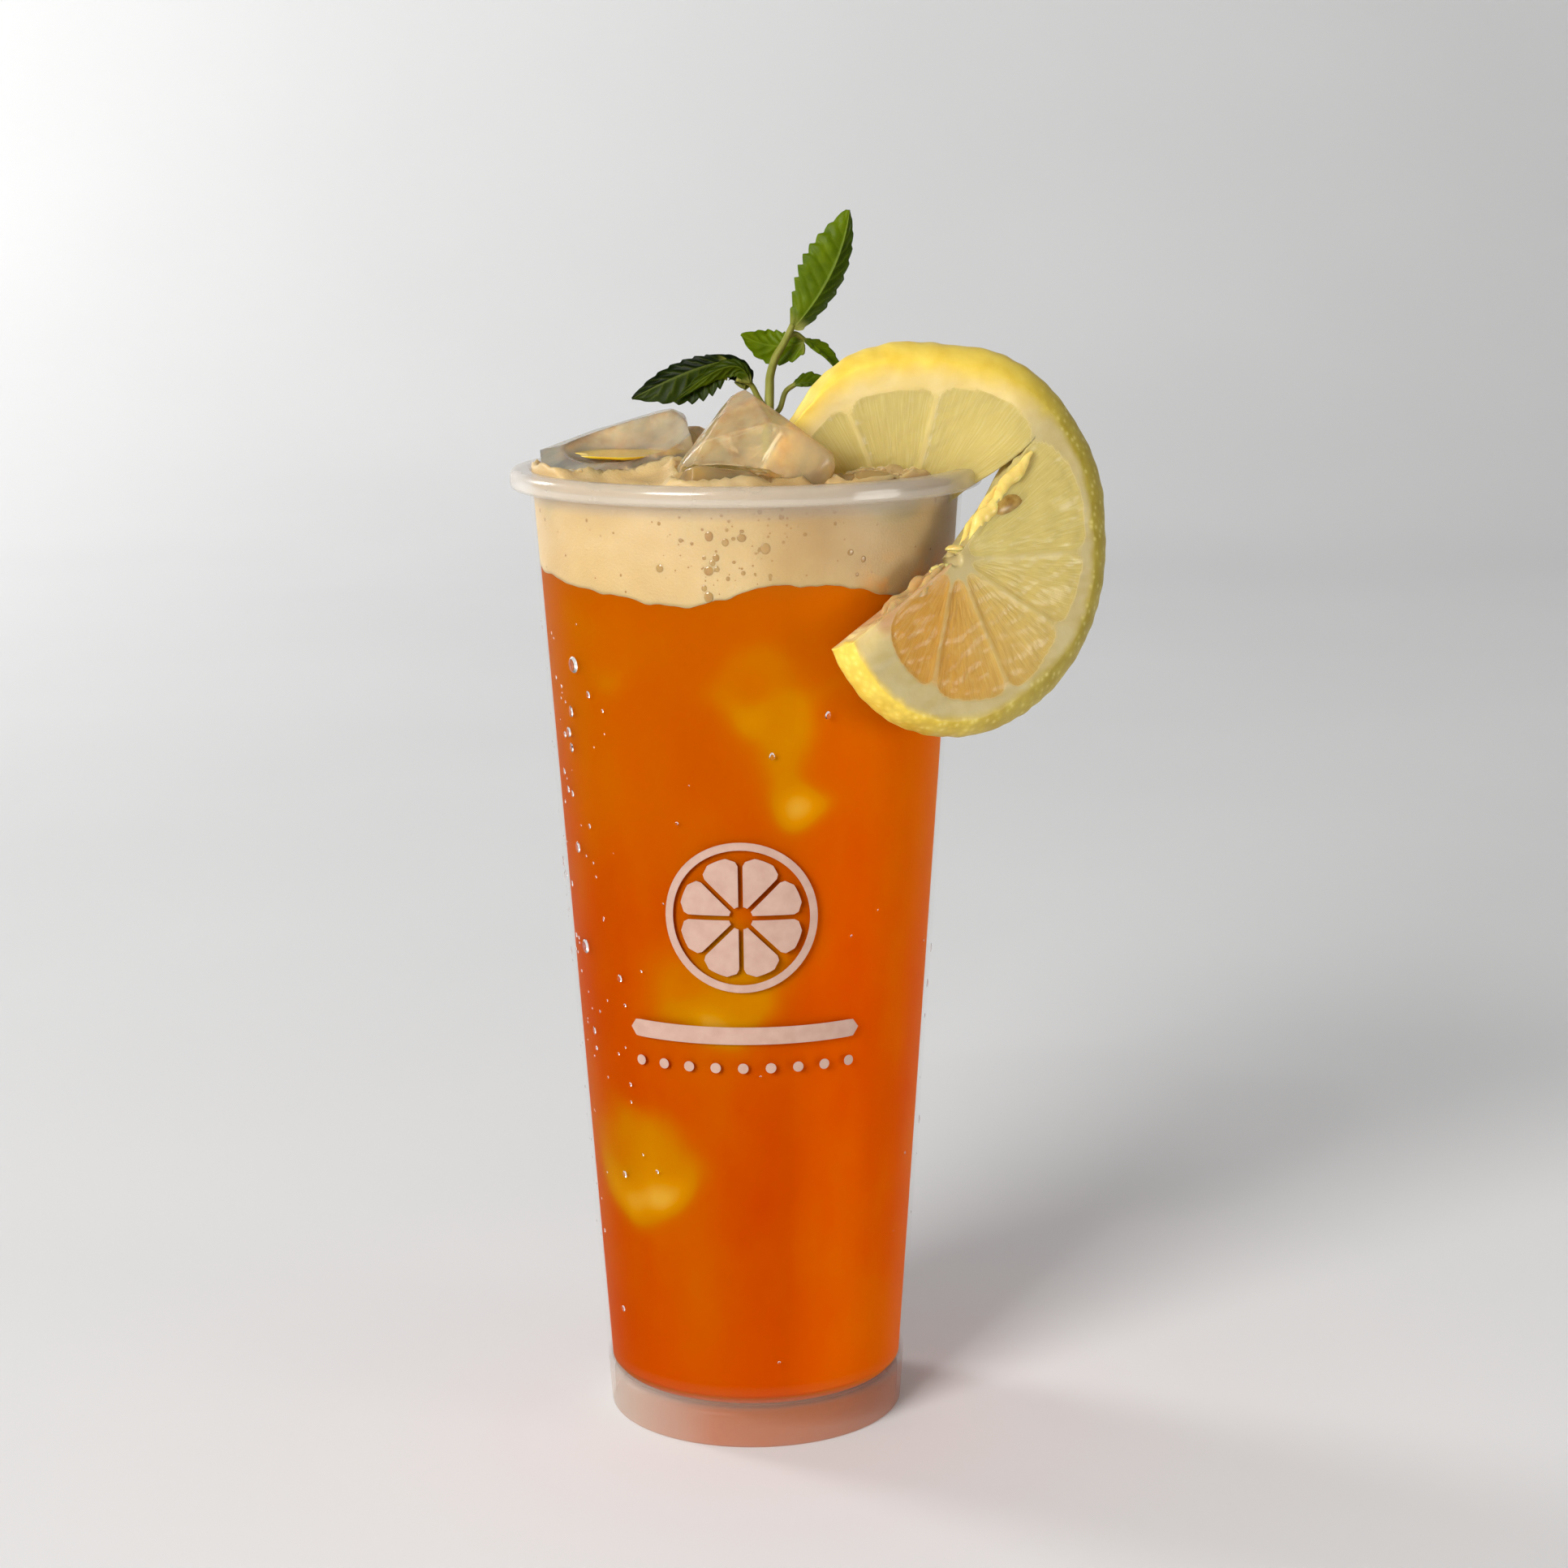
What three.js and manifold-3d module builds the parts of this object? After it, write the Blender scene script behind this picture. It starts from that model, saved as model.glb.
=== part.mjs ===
// Iced fruit tea in a tall takeaway cup: a tapered cup with a rolled rim, the tea, the foam on it,
// ice cubes, a lemon slice hooked over the rim and a sprig of mint. Millimetres, +Z up.
import * as THREE from "three";
import { mergeVertices } from "three/addons/utils/BufferGeometryUtils.js";
import Module from "manifold-3d";

const wasm = await Module();
wasm.setup();

// ---- driving dimensions, mm and degrees ----
const gap = 0.35; // clearance between pieces that touch
const cup = {
  height: 187.5, // foot to top of the rolled rim
  footRadius: 28.98, // outside, at the foot
  taper: 0.06756, // outside radius gained per mm of height
  wall: 0.6,
  skirt: 0.8, // thickness of the foot below the floor
  floorTop: 8.0,
  floorThickness: 0.7,
  rimRadius: 45.0, // outside of the rolled rim
  rimHeight: 3.8,
  sides: 56,
};
const air = { width: 20, height: 60 }; // room kept round and above the rim for what sticks out
const slab = { reach: 46, rings: 4, sides: 36 }; // the grid of a foam or tea surface
const ice = { corner: 0.42, unevenness: 0.07 }; // both as shares of a cube's half size
const slice = {
  core: [38.3, -29.2, 172.3], // centre of the cut face
  facing: [0.502, -0.833, 0.234], // the way the outer half faces
  thickness: 6,
  backGrowth: 1.6, // the back of the slice is this much larger in radius
  innerTaper: 2.6, // and less so by this much at its inner end
  cutAngle: -152, // where the slice is cut from rind to core
  tearAngle: 43, // where the two halves part, inside the rind
  coreHole: 1.3,
  foldAngle: 22, // the inner half folds back by this about the rind at the tear
  swing: 7, // and turns by this in its own plane
  foldBefore: 24, // the fold of the rind is spread over these angles before and after the tear
  foldAfter: 30,
  dish: 0.45, // the flesh of a segment lies this far below its membranes
};
const mint = { stemRadius: 0.95, bladeThickness: 0.7, edgeWave: 0.25 };
const hair = 0.05; // edges shorter than this are removed

// ---- small helpers ----
const radians = THREE.MathUtils.degToRad;
const vec = (x, y, z) => new THREE.Vector3(x, y, z);
const smoothstep = THREE.MathUtils.smoothstep;
const outerRadius = (z) => cup.footRadius + cup.taper * z;
const innerRadius = (z) => outerRadius(z) - cup.wall;

// A closed geometry as a solid: shared vertices are merged and the faces turned outward.
function toSolid(source) {
  const bare = source.clone();
  bare.deleteAttribute("normal");
  bare.deleteAttribute("uv");
  const merged = mergeVertices(bare, 1e-4);
  const points = merged.attributes.position.array;
  const index = merged.index.array;
  const triangles = [];
  for (let i = 0; i < index.length; i += 3) {
    const [a, b, c] = [index[i], index[i + 1], index[i + 2]];
    if (a !== b && b !== c && c !== a) {
      triangles.push(a, b, c);
    }
  }
  const corner = (k) => new THREE.Vector3().fromArray(points, 3 * k);
  let volume = 0;
  for (let i = 0; i < triangles.length; i += 3) {
    const cross = corner(triangles[i + 1]).cross(corner(triangles[i + 2]));
    volume += corner(triangles[i]).dot(cross);
  }
  if (volume < 0) {
    triangles.reverse();
  }
  return new wasm.Manifold(new wasm.Mesh({
    numProp: 3,
    vertProperties: new Float32Array(points),
    triVerts: new Uint32Array(triangles),
  }));
}

// A solid back as a geometry, with edges shorter than a hair removed.
function toGeometry(solid) {
  const mesh = largest(solid.simplify(hair)).getMesh();
  const geometry = new THREE.BufferGeometry();
  geometry.setAttribute("position", new THREE.BufferAttribute(mesh.vertProperties, 3));
  geometry.setIndex(new THREE.BufferAttribute(mesh.triVerts, 1));
  geometry.computeVertexNormals();
  return geometry;
}

// The one body that holds together; loose scraps left by a cut are dropped.
function largest(solid) {
  const bodies = solid.decompose();
  return bodies.reduce((best, body) => (body.volume() > best.volume() ? body : best));
}

// A profile of [radius, z] pairs turned about the Z axis.
function revolve(profile) {
  const points = profile.map(([r, z]) => new THREE.Vector2(r, z));
  return toSolid(new THREE.LatheGeometry(points, cup.sides).rotateX(Math.PI / 2));
}

// A closed body from rows of points: front and back are grids of the same size, joined all round.
function sheetSolid(front, back) {
  const rows = front.length;
  const columns = front[0].length;
  const points = [...front.flat(), ...back.flat()];
  const id = (side, i, j) => side * rows * columns + i * columns + j;
  const index = [];
  const quad = (a, b, c, d) => index.push(a, b, c, a, c, d);
  for (let i = 0; i + 1 < rows; i += 1) {
    for (let j = 0; j + 1 < columns; j += 1) {
      quad(id(0, i, j), id(0, i + 1, j), id(0, i + 1, j + 1), id(0, i, j + 1));
      // the same diagonal on the back, wound the other way
      index.push(id(1, i, j), id(1, i + 1, j + 1), id(1, i + 1, j));
      index.push(id(1, i, j), id(1, i, j + 1), id(1, i + 1, j + 1));
    }
  }
  for (let i = 0; i + 1 < rows; i += 1) {
    quad(id(0, i + 1, 0), id(0, i, 0), id(1, i, 0), id(1, i + 1, 0));
    const last = columns - 1;
    quad(id(0, i, last), id(0, i + 1, last), id(1, i + 1, last), id(1, i, last));
  }
  for (let j = 0; j + 1 < columns; j += 1) {
    quad(id(0, 0, j), id(0, 0, j + 1), id(1, 0, j + 1), id(1, 0, j));
    const last = rows - 1;
    quad(id(0, last, j + 1), id(0, last, j), id(1, last, j), id(1, last, j + 1));
  }
  return solidFrom(points, index);
}

function solidFrom(points, index) {
  const geometry = new THREE.BufferGeometry();
  geometry.setFromPoints(points);
  geometry.setIndex(index);
  return toSolid(geometry);
}

// ---- cup ----
// The rolled rim in section, from the wall outside, over the top, to the wall inside.
function rimSection(grow) {
  const top = cup.height;
  const under = top - cup.rimHeight;
  const out = cup.rimRadius;
  return [
    [outerRadius(under) + grow, under - grow],
    [out - 0.9, under + 0.2 - grow],
    [out + grow, under + 1.5],
    [out + grow * 0.9, top - 1.2],
    [out - 1.2 + grow * 0.5, top + grow],
    [out - 2.9 - grow * 0.5, top + grow],
    [out - 4.0 - grow, top - 0.9],
    [innerRadius(under) - grow, under],
  ];
}

function cupSolid() {
  const { floorTop, floorThickness, skirt, footRadius } = cup;
  const underside = floorTop - floorThickness;
  return revolve([
    [0, underside],
    [outerRadius(underside) - skirt, underside],
    [footRadius - skirt, 0],
    [footRadius, 0],
    ...rimSection(0),
    [innerRadius(floorTop + 1.6), floorTop + 1.6],
    [innerRadius(floorTop) - 1.3, floorTop],
    [0, floorTop],
  ]);
}

// The wall and rim with the clearance added, for cutting what leans on them.
function wallEnvelope() {
  const low = 0.64 * cup.height; // well below everything that leans on the wall
  const start = [outerRadius(low) + gap, low];
  return revolve([start, ...rimSection(gap), [innerRadius(low) - gap, low], start]);
}

// The room inside the cup, and the air above its rim.
function clearSpace() {
  const { floorTop, height, rimRadius } = cup;
  return revolve([
    [0, floorTop + gap],
    [innerRadius(floorTop) - 1.6, floorTop + gap],
    [innerRadius(floorTop + 1.8) - gap, floorTop + 1.8],
    [innerRadius(height - 4) - gap, height - 4],
    [rimRadius - 4.0 - gap, height - 0.9],
    [rimRadius - 3.4, height + gap],
    [rimRadius + air.width, height + gap],
    [rimRadius + air.width, height + air.height],
    [0, height + air.height],
  ]);
}

// ---- foam and tea ----
// Height of the foam's lower edge where it meets the wall, by azimuth in degrees from -180.
const foamEdge = [
  [-180, 169.6], [-160, 168.4], [-131, 166.6], [-108, 165.4], [-82, 169.0], [-64, 168.5],
  [-47, 165.8], [-20, 167.5], [10, 169.5], [45, 166.5], [80, 168.5], [115, 166.0], [150, 168.8],
];
const foamCentre = 168.5; // the same height in the middle of the cup
const foamWallRadius = 40;
const foamLevel = cup.height - 1.4;

function foamEdgeHeight(azimuth) {
  const wrap = (a) => ((((a + 180) % 360) + 360) % 360) - 180;
  const a = wrap(azimuth);
  const count = foamEdge.length;
  let k = count - 1;
  while (k > 0 && foamEdge[k][0] > a) {
    k -= 1;
  }
  const [from, low] = foamEdge[k];
  const [to, high] = foamEdge[(k + 1) % count];
  const span = (to - from + 360) % 360;
  return low + (high - low) * smoothstep((a - from) / span, 0, 1);
}

function foamUnderside(x, y) {
  const azimuth = THREE.MathUtils.radToDeg(Math.atan2(y, x));
  const reach = Math.min(Math.hypot(x, y) / foamWallRadius, 1);
  return foamCentre + (foamEdgeHeight(azimuth) - foamCentre) * reach;
}

function foamTop(x, y) {
  const ripple = 0.7 * Math.sin(x / 5.5 + 1.0) * Math.cos(y / 6.5) + 0.4 * Math.sin((x - y) / 3.1);
  const climb = 0.9 * smoothstep(-x, 22, 38) * smoothstep(-y, -6, 12);
  return foamLevel + ripple + climb;
}

// Everything between two height fields, out past the wall.
function heightSlab(lower, upper) {
  const { reach, rings, sides } = slab;
  const points = [];
  const index = [];
  const layer = (height) => {
    const first = points.length;
    points.push(vec(0, 0, height(0, 0)));
    for (let k = 1; k <= rings; k += 1) {
      for (let s = 0; s < sides; s += 1) {
        const angle = (2 * Math.PI * s) / sides;
        const r = (reach * k) / rings;
        const [x, y] = [r * Math.cos(angle), r * Math.sin(angle)];
        points.push(vec(x, y, height(x, y)));
      }
    }
    return (k, s) => (k === 0 ? first : first + 1 + (k - 1) * sides + (s % sides));
  };
  const low = layer(lower);
  const high = layer(upper);
  const both = (a, b, c) => {
    index.push(high(...a), high(...b), high(...c));
    index.push(low(...a), low(...c), low(...b));
  };
  for (let s = 0; s < sides; s += 1) {
    both([0, 0], [1, s], [1, s + 1]);
    for (let k = 1; k < rings; k += 1) {
      both([k, s], [k + 1, s], [k + 1, s + 1]);
      both([k, s], [k + 1, s + 1], [k, s + 1]);
    }
    index.push(low(rings, s), low(rings, s + 1), high(rings, s + 1));
    index.push(low(rings, s), high(rings, s + 1), high(rings, s));
  }
  return solidFrom(points, index);
}

// ---- ice ----
// Each cube: centre, half sizes, turns about X, Y and Z in degrees, and a phase for its melt.
const iceCubes = [
  { at: [-4.0, -33.2, 181.8], half: [10.2, 5.6, 8.0], turn: [-14, 6, 10], phase: 3 },
  { at: [1.3, -25.8, 188.4], half: [11.4, 9.4, 12.2], turn: [-9, 42, 12], phase: 1 },
  { at: [-24.0, -5.5, 186.0], half: [15.4, 14.0, 9.4], turn: [8, -13, 8], phase: 2 },
  { at: [24.6, -27.2, 182.6], half: [9.0, 5.2, 6.0], turn: [-6, 4, 34], phase: 4 },
  { at: [17.8, 11.5, 186.0], half: [11.0, 10.5, 10.5], turn: [14, -10, 14], phase: 5 },
  { at: [-12.5, 22.5, 183.0], half: [11.5, 10.5, 9.5], turn: [-10, 8, -24], phase: 6 },
  { at: [-7.2, -33.4, 147.5], half: [7.2, 6.4, 6.8], turn: [10, 8, -10], phase: 7 },
  { at: [7.5, -27.8, 134.5], half: [12.2, 10.5, 11.6], turn: [12, 14, 8], phase: 8 },
  { at: [27.0, -7.0, 114.0], half: [10.0, 10.5, 11.0], turn: [20, -16, 30], phase: 9 },
  { at: [-4.5, -26.0, 94.0], half: [10.5, 9.5, 11.5], turn: [-14, 28, 8], phase: 10 },
  { at: [-17.0, -16.5, 57.0], half: [10.5, 10.0, 10.5], turn: [12, 24, -38], phase: 11 },
  { at: [-24.0, 17.0, 110.0], half: [11.0, 11.0, 10.5], turn: [-18, 12, 22], phase: 12 },
  { at: [13.0, 21.0, 72.0], half: [10.0, 10.5, 10.5], turn: [15, 20, -18], phase: 13 },
  { at: [2.0, 27.0, 149.0], half: [11.5, 10.0, 11.0], turn: [10, -22, 16], phase: 14 },
  { at: [-26.0, -20.0, 153.5], half: [8.5, 8.5, 8.0], turn: [18, 20, -30], phase: 15 },
];
const iceGrid = [-1, -0.64, 0.64, 1];

// A cube with round corners and dished, slightly uneven faces, as half melted ice has.
function iceSolid({ at, half, turn, phase }, grow) {
  const inner = 1 - ice.corner;
  const box = new THREE.BoxGeometry(2, 2, 2, 3, 3, 3);
  const position = box.attributes.position;
  const p = new THREE.Vector3();
  const size = vec(...half);
  for (let i = 0; i < position.count; i += 1) {
    p.fromBufferAttribute(position, i);
    const q = p.toArray().map((c) => iceGrid[Math.round((c + 1) * 1.5)]);
    const flat = vec(...q.map((c) => THREE.MathUtils.clamp(c, -inner, inner)));
    const away = vec(...q).sub(flat);
    p.copy(flat).addScaledVector(away.normalize(), ice.corner);
    const wave = Math.sin(2.3 * q[0] + phase) * Math.cos(1.9 * q[1] - phase)
      * Math.sin(2.1 * q[2] + 2 * phase);
    p.multiplyScalar(1 + ice.unevenness * wave);
    p.multiply(size);
    p.addScaledVector(p.clone().normalize(), grow);
    position.setXYZ(i, p.x, p.y, p.z);
  }
  const euler = new THREE.Euler(...turn.map(radians));
  box.applyMatrix4(new THREE.Matrix4().makeRotationFromEuler(euler).setPosition(...at));
  return toSolid(box);
}

// ---- lemon slice ----
const facing = vec(...slice.facing).normalize();
const rightward = vec(0, 0, 1).cross(facing).normalize();
const upward = facing.clone().cross(rightward);

// Radius of the rind from the core, by angle round the core.
const rindPoints = [
  [-152, 27.7], [-120, 30.4], [-92, 30.7], [-60, 30.7], [-25, 32.5], [8, 36.0], [30, 38.8],
  [48, 40.0], [75, 37.8], [98, 35.6], [115, 34.0], [135, 31.5], [170, 29.5], [208, 28.5],
];
const rindRadius = (angle) => {
  let k = 0;
  while (k < rindPoints.length - 2 && rindPoints[k + 1][0] < angle) {
    k += 1;
  }
  const [a0, r0] = rindPoints[Math.max(k - 1, 0)];
  const [a1, r1] = rindPoints[k];
  const [a2, r2] = rindPoints[k + 1];
  const [a3, r3] = rindPoints[Math.min(k + 2, rindPoints.length - 1)];
  const span = a2 - a1;
  const t = (angle - a1) / span;
  const m1 = ((r2 - r0) / Math.max(a2 - a0, 1)) * span;
  const m2 = ((r3 - r1) / Math.max(a3 - a1, 1)) * span;
  const [t2, t3] = [t * t, t * t * t];
  return (2 * t3 - 3 * t2 + 1) * r1 + (t3 - 2 * t2 + t) * m1
    + (3 * t2 - 2 * t3) * r2 + (t3 - t2) * m2;
};

// Angles of the membranes between the segments, before and after the tear.
const outerMembranes = [slice.cutAngle, -109, -74, -22, -2, slice.tearAngle];
const innerMembranes = [slice.tearAngle, 84, 120, 158, 183, 360 + slice.cutAngle];
const segmentSteps = [0, 0.16, 0.5, 0.84];
const radialSteps = [0, 0.14, 0.34, 0.56, 0.72, 0.79, 0.9, 1];
const rindStart = 0.79; // the flesh nearer the core than this is torn apart
const tearStart = 0.35; // and the two halves draw together from here outward

// Columns of one half: each membrane, then three more angles across the segment behind it.
function columnAngles(membranes) {
  const angles = [];
  for (let k = 0; k + 1 < membranes.length; k += 1) {
    const [from, to] = [membranes[k], membranes[k + 1]];
    angles.push(...segmentSteps.map((s) => ({ angle: from + (to - from) * s, membrane: s === 0 })));
  }
  angles.push({ angle: membranes.at(-1), membrane: true });
  return angles;
}

// How far round the fold the rind is, from 0 on the outer half to 1 on the inner half.
const rindFold = (angle) => (
  smoothstep(angle, slice.tearAngle - slice.foldBefore, slice.tearAngle + slice.foldAfter)
);

// A point of the slice: angle and radius round the core, depth behind the cut face, how far round
// the fold it is, and a step sideways toward larger angles.
function slicePoint(angle, radius, depth, fold, sideways = 0) {
  const a = radians(angle);
  const u = radius * Math.cos(a) - sideways * Math.sin(a);
  const v = radius * Math.sin(a) + sideways * Math.cos(a);
  const hinge = radians(slice.tearAngle);
  const reach = rindRadius(slice.tearAngle);
  const half = slice.thickness / 2;
  const along = v * Math.cos(hinge) - u * Math.sin(hinge);
  const out = u * Math.cos(hinge) + v * Math.sin(hinge) - reach;
  const swing = radians(slice.swing * fold);
  const swungAlong = along * Math.cos(swing) - out * Math.sin(swing);
  const swungOut = along * Math.sin(swing) + out * Math.cos(swing);
  const bend = radians(slice.foldAngle * fold);
  const height = half - depth;
  const foldedOut = swungOut * Math.cos(bend) - height * Math.sin(bend) + reach;
  const foldedHeight = swungOut * Math.sin(bend) + height * Math.cos(bend) - half;
  return vec(...slice.core)
    .addScaledVector(rightward, foldedOut * Math.cos(hinge) - swungAlong * Math.sin(hinge))
    .addScaledVector(upward, foldedOut * Math.sin(hinge) + swungAlong * Math.cos(hinge))
    .addScaledVector(facing, foldedHeight);
}

// One half of the slice, grown on every side by a clearance. Both halves share the rind at the tear.
function sliceHalf(membranes, isInner, grow) {
  const columns = columnAngles(membranes);
  const last = columns.length - 1;
  const hole = slice.coreHole - grow;
  const face = (isBack) => columns.map(({ angle, membrane }, i) => radialSteps.map((step, j) => {
    const inFlesh = step < rindStart;
    const torn = isInner ? 1 : 0;
    const fold = THREE.MathUtils.lerp(torn, rindFold(angle), smoothstep(step, tearStart, rindStart));
    const dish = membrane || j === 0 || !inFlesh ? 0 : slice.dish;
    const flare = slice.backGrowth - slice.innerTaper * smoothstep(angle, 105, 135);
    const growth = isBack ? flare * step * step : 0;
    const radius = hole + (rindRadius(angle) + grow - hole) * step + growth;
    const depth = isBack ? slice.thickness - dish + grow : dish - grow;
    const sideways = { 0: -grow, [last]: grow }[i] ?? 0;
    return slicePoint(angle, radius, depth, fold, sideways);
  }));
  return sheetSolid(face(false), face(true));
}

const lemonSolid = (grow) => (
  sliceHalf(outerMembranes, false, grow).add(sliceHalf(innerMembranes, true, grow))
);

// ---- mint ----
// A blade: base, control and tip of its midrib, the side its left half points to, half width,
// how far each half folds up from flat, and the number of teeth along an edge.
const leaves = [
  { midrib: [[9.2, 6, 212.6], [19.0, 4.6, 222.9], [20.4, 7, 234.9]], side: [-0.9, 0.1, 0.42],
    halves: [6.0, 4.2], folds: [8, 60], teeth: 7 },
  { midrib: [[11.4, 8.3, 210.2], [5.5, 9, 207.6], [-0.7, 8, 211.4]], side: [-0.05, 0.25, 0.97],
    halves: [3.4, 3.4], folds: [12, 14], teeth: 5 },
  { midrib: [[11.2, 8, 210.4], [14.4, 8, 208.6], [20.0, 9, 202.2]], side: [0.25, 0.85, 0.45],
    halves: [2.5, 2.5], folds: [30, 30], teeth: 5 },
  { midrib: [[9.2, 9.5, 201.4], [12.4, 9.5, 203.0], [18.2, 10, 199.6]], side: [0.05, 0.8, 0.6],
    halves: [2.8, 2.8], folds: [20, 35], teeth: 5 },
  { midrib: [[-0.4, 3, 203.0], [-9.0, 1.5, 206.2], [-21.6, 3, 200.0]], side: [0.1, 0.75, 0.66],
    halves: [4.8, 4.8], folds: [10, 66], teeth: 8 },
  { midrib: [[-0.2, 3.4, 201.4], [0.2, 4.6, 206.6], [-7.4, 6, 208.0]], side: [0.75, 0.5, 0.45],
    halves: [2.8, 2.8], folds: [25, 25], teeth: 4 },
];
// Stem and leaf stalks: points along each, and its radius.
const stalkSides = 6;
const stalks = [
  { points: [[4.2, 5.2, 182], [4.5, 5.6, 194], [4.7, 6, 201], [4.9, 6, 204], [6.0, 6, 207.4],
    [7.6, 6, 210], [9.3, 6, 213.4]], radius: mint.stemRadius },
  { points: [[8.2, 6.2, 211.2], [9.8, 7.4, 211.6], [11.6, 8.4, 210.4]], radius: 0.6 },
  { points: [[4.8, 6.0, 196.0], [6.6, 8.2, 197.2], [7.8, 9.2, 200.4], [9.8, 9.5, 201.9]],
    radius: 0.55 },
  { points: [[4.5, 5.6, 196.5], [2.6, 4.6, 199.5], [1.0, 3.6, 202.4], [-1.6, 2.9, 203.4]],
    radius: 0.6 },
];

function bladeSolid({ midrib, side, halves, folds, teeth }, grow) {
  const curve = new THREE.QuadraticBezierCurve3(...midrib.map((p) => vec(...p)));
  const across = [-1, -0.55, 0, 0.55, 1];
  const stations = 2 * teeth + 2;
  const front = [];
  const back = [];
  for (let k = 0; k <= stations; k += 1) {
    const s = k / stations;
    const middle = curve.getPoint(s);
    const along = curve.getTangent(s);
    const normal = along.clone().cross(vec(...side)).normalize();
    const left = normal.clone().cross(along).normalize();
    const outline = Math.sin(Math.PI * Math.min(s * 0.9 + 0.08, 1)) ** 0.8;
    const tooth = k % 2 === 0 ? 0.87 : 1.0;
    const line = across.map((c) => {
      const sideways = c < 0 ? 1 : 0;
      const width = Math.max(halves[sideways] * outline * tooth, 0.25) + grow;
      const fold = radians(folds[sideways]);
      const wave = mint.edgeWave * Math.sin(9 * s + 4 * c) * Math.abs(c);
      return middle.clone()
        .addScaledVector(left, c * width * Math.cos(fold))
        .addScaledVector(normal, Math.abs(c) * width * Math.sin(fold) + wave);
    });
    const lift = normal.clone().multiplyScalar(mint.bladeThickness / 2 + grow);
    front.push(line.map((p) => p.clone().add(lift)));
    back.push(line.map((p) => p.clone().sub(lift)));
  }
  return sheetSolid(front, back);
}

function stalkSolid({ points, radius }, grow) {
  const route = points.map((p) => vec(...p));
  route[0].addScaledVector(route[0].clone().sub(route[1]).normalize(), grow);
  const path = new THREE.CatmullRomCurve3(route);
  const section = new THREE.Shape();
  for (let k = 0; k < stalkSides; k += 1) {
    const a = (2 * Math.PI * k) / stalkSides;
    const r = radius + grow;
    section[k === 0 ? "moveTo" : "lineTo"](r * Math.cos(a), r * Math.sin(a));
  }
  section.closePath();
  const steps = 2 * points.length;
  return toSolid(new THREE.ExtrudeGeometry(section, { extrudePath: path, steps, curveSegments: 1 }));
}

function mintSolid(grow) {
  const parts = [
    ...stalks.map((stalk) => stalkSolid(stalk, grow)),
    ...leaves.map((leaf) => bladeSolid(leaf, grow)),
  ];
  return parts.reduce((whole, part) => whole.add(part));
}

// ---- assembly: each piece is cut clear of the ones placed before it ----
const room = clearSpace();
const lemonGrown = lemonSolid(gap);
const mintGrown = mintSolid(gap);
const pieces = new Map();
pieces.set("cup", cupSolid());
// the inner half is trimmed where it would come out below the rim
const innerTrim = sliceHalf(innerMembranes, true, 3 * gap).subtract(room);
const outerHalf = sliceHalf(outerMembranes, false, 0).subtract(wallEnvelope());
const innerHalf = sliceHalf(innerMembranes, true, 0).subtract(wallEnvelope()).subtract(innerTrim);
pieces.set("lemon_slice", largest(outerHalf.add(innerHalf)));
pieces.set("mint_sprig", mintSolid(0));

let taken = lemonGrown.add(mintGrown);
iceCubes.forEach((cube, k) => {
  const name = `ice_cube_${String(k + 1).padStart(2, "0")}`;
  pieces.set(name, largest(iceSolid(cube, 0).intersect(room).subtract(taken)));
  taken = taken.add(iceSolid(cube, gap));
});

const foamSlab = heightSlab(foamUnderside, foamTop);
pieces.set("foam", largest(foamSlab.intersect(room).subtract(taken)));
const teaSlab = heightSlab(() => 0, (x, y) => foamUnderside(x, y) - gap);
pieces.set("tea", largest(teaSlab.intersect(room).subtract(taken)));

const materials = {
  cup: { color: 0xe9e6e1, roughness: 0.35, metalness: 0 },
  tea: { color: 0xd06500, roughness: 0.15, metalness: 0 },
  foam: { color: 0xf0dca5, roughness: 0.6, metalness: 0 },
  ice: { color: 0xdcc29a, roughness: 0.15, metalness: 0 },
  lemon: { color: 0xd9cf5a, roughness: 0.4, metalness: 0 },
  mint: { color: 0x4d7a1c, roughness: 0.5, metalness: 0 },
};

const drink = new THREE.Group();
for (const [name, solid] of pieces) {
  const material = new THREE.MeshStandardMaterial(materials[name.split("_")[0]]);
  const mesh = new THREE.Mesh(toGeometry(solid), material);
  mesh.name = name;
  drink.add(mesh);
}

// The origin is under the middle of the whole drink, on the surface it stands on.
const bounds = new THREE.Box3().setFromObject(drink);
const middle = bounds.getCenter(vec(0, 0, 0));
drink.position.set(-middle.x, -middle.y, 0);

export default drink;
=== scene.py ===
"""Looks of an iced fruit tea in a tall clear takeaway cup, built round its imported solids.

Shapes are worked out in millimetres about the cup's own axis, as the solids are, and placed in the
row frame in metres at the end, by build().
"""

import math

import bmesh
import bpy
import numpy as np
from mathutils import Matrix, Vector
from mathutils.bvhtree import BVHTree


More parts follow.
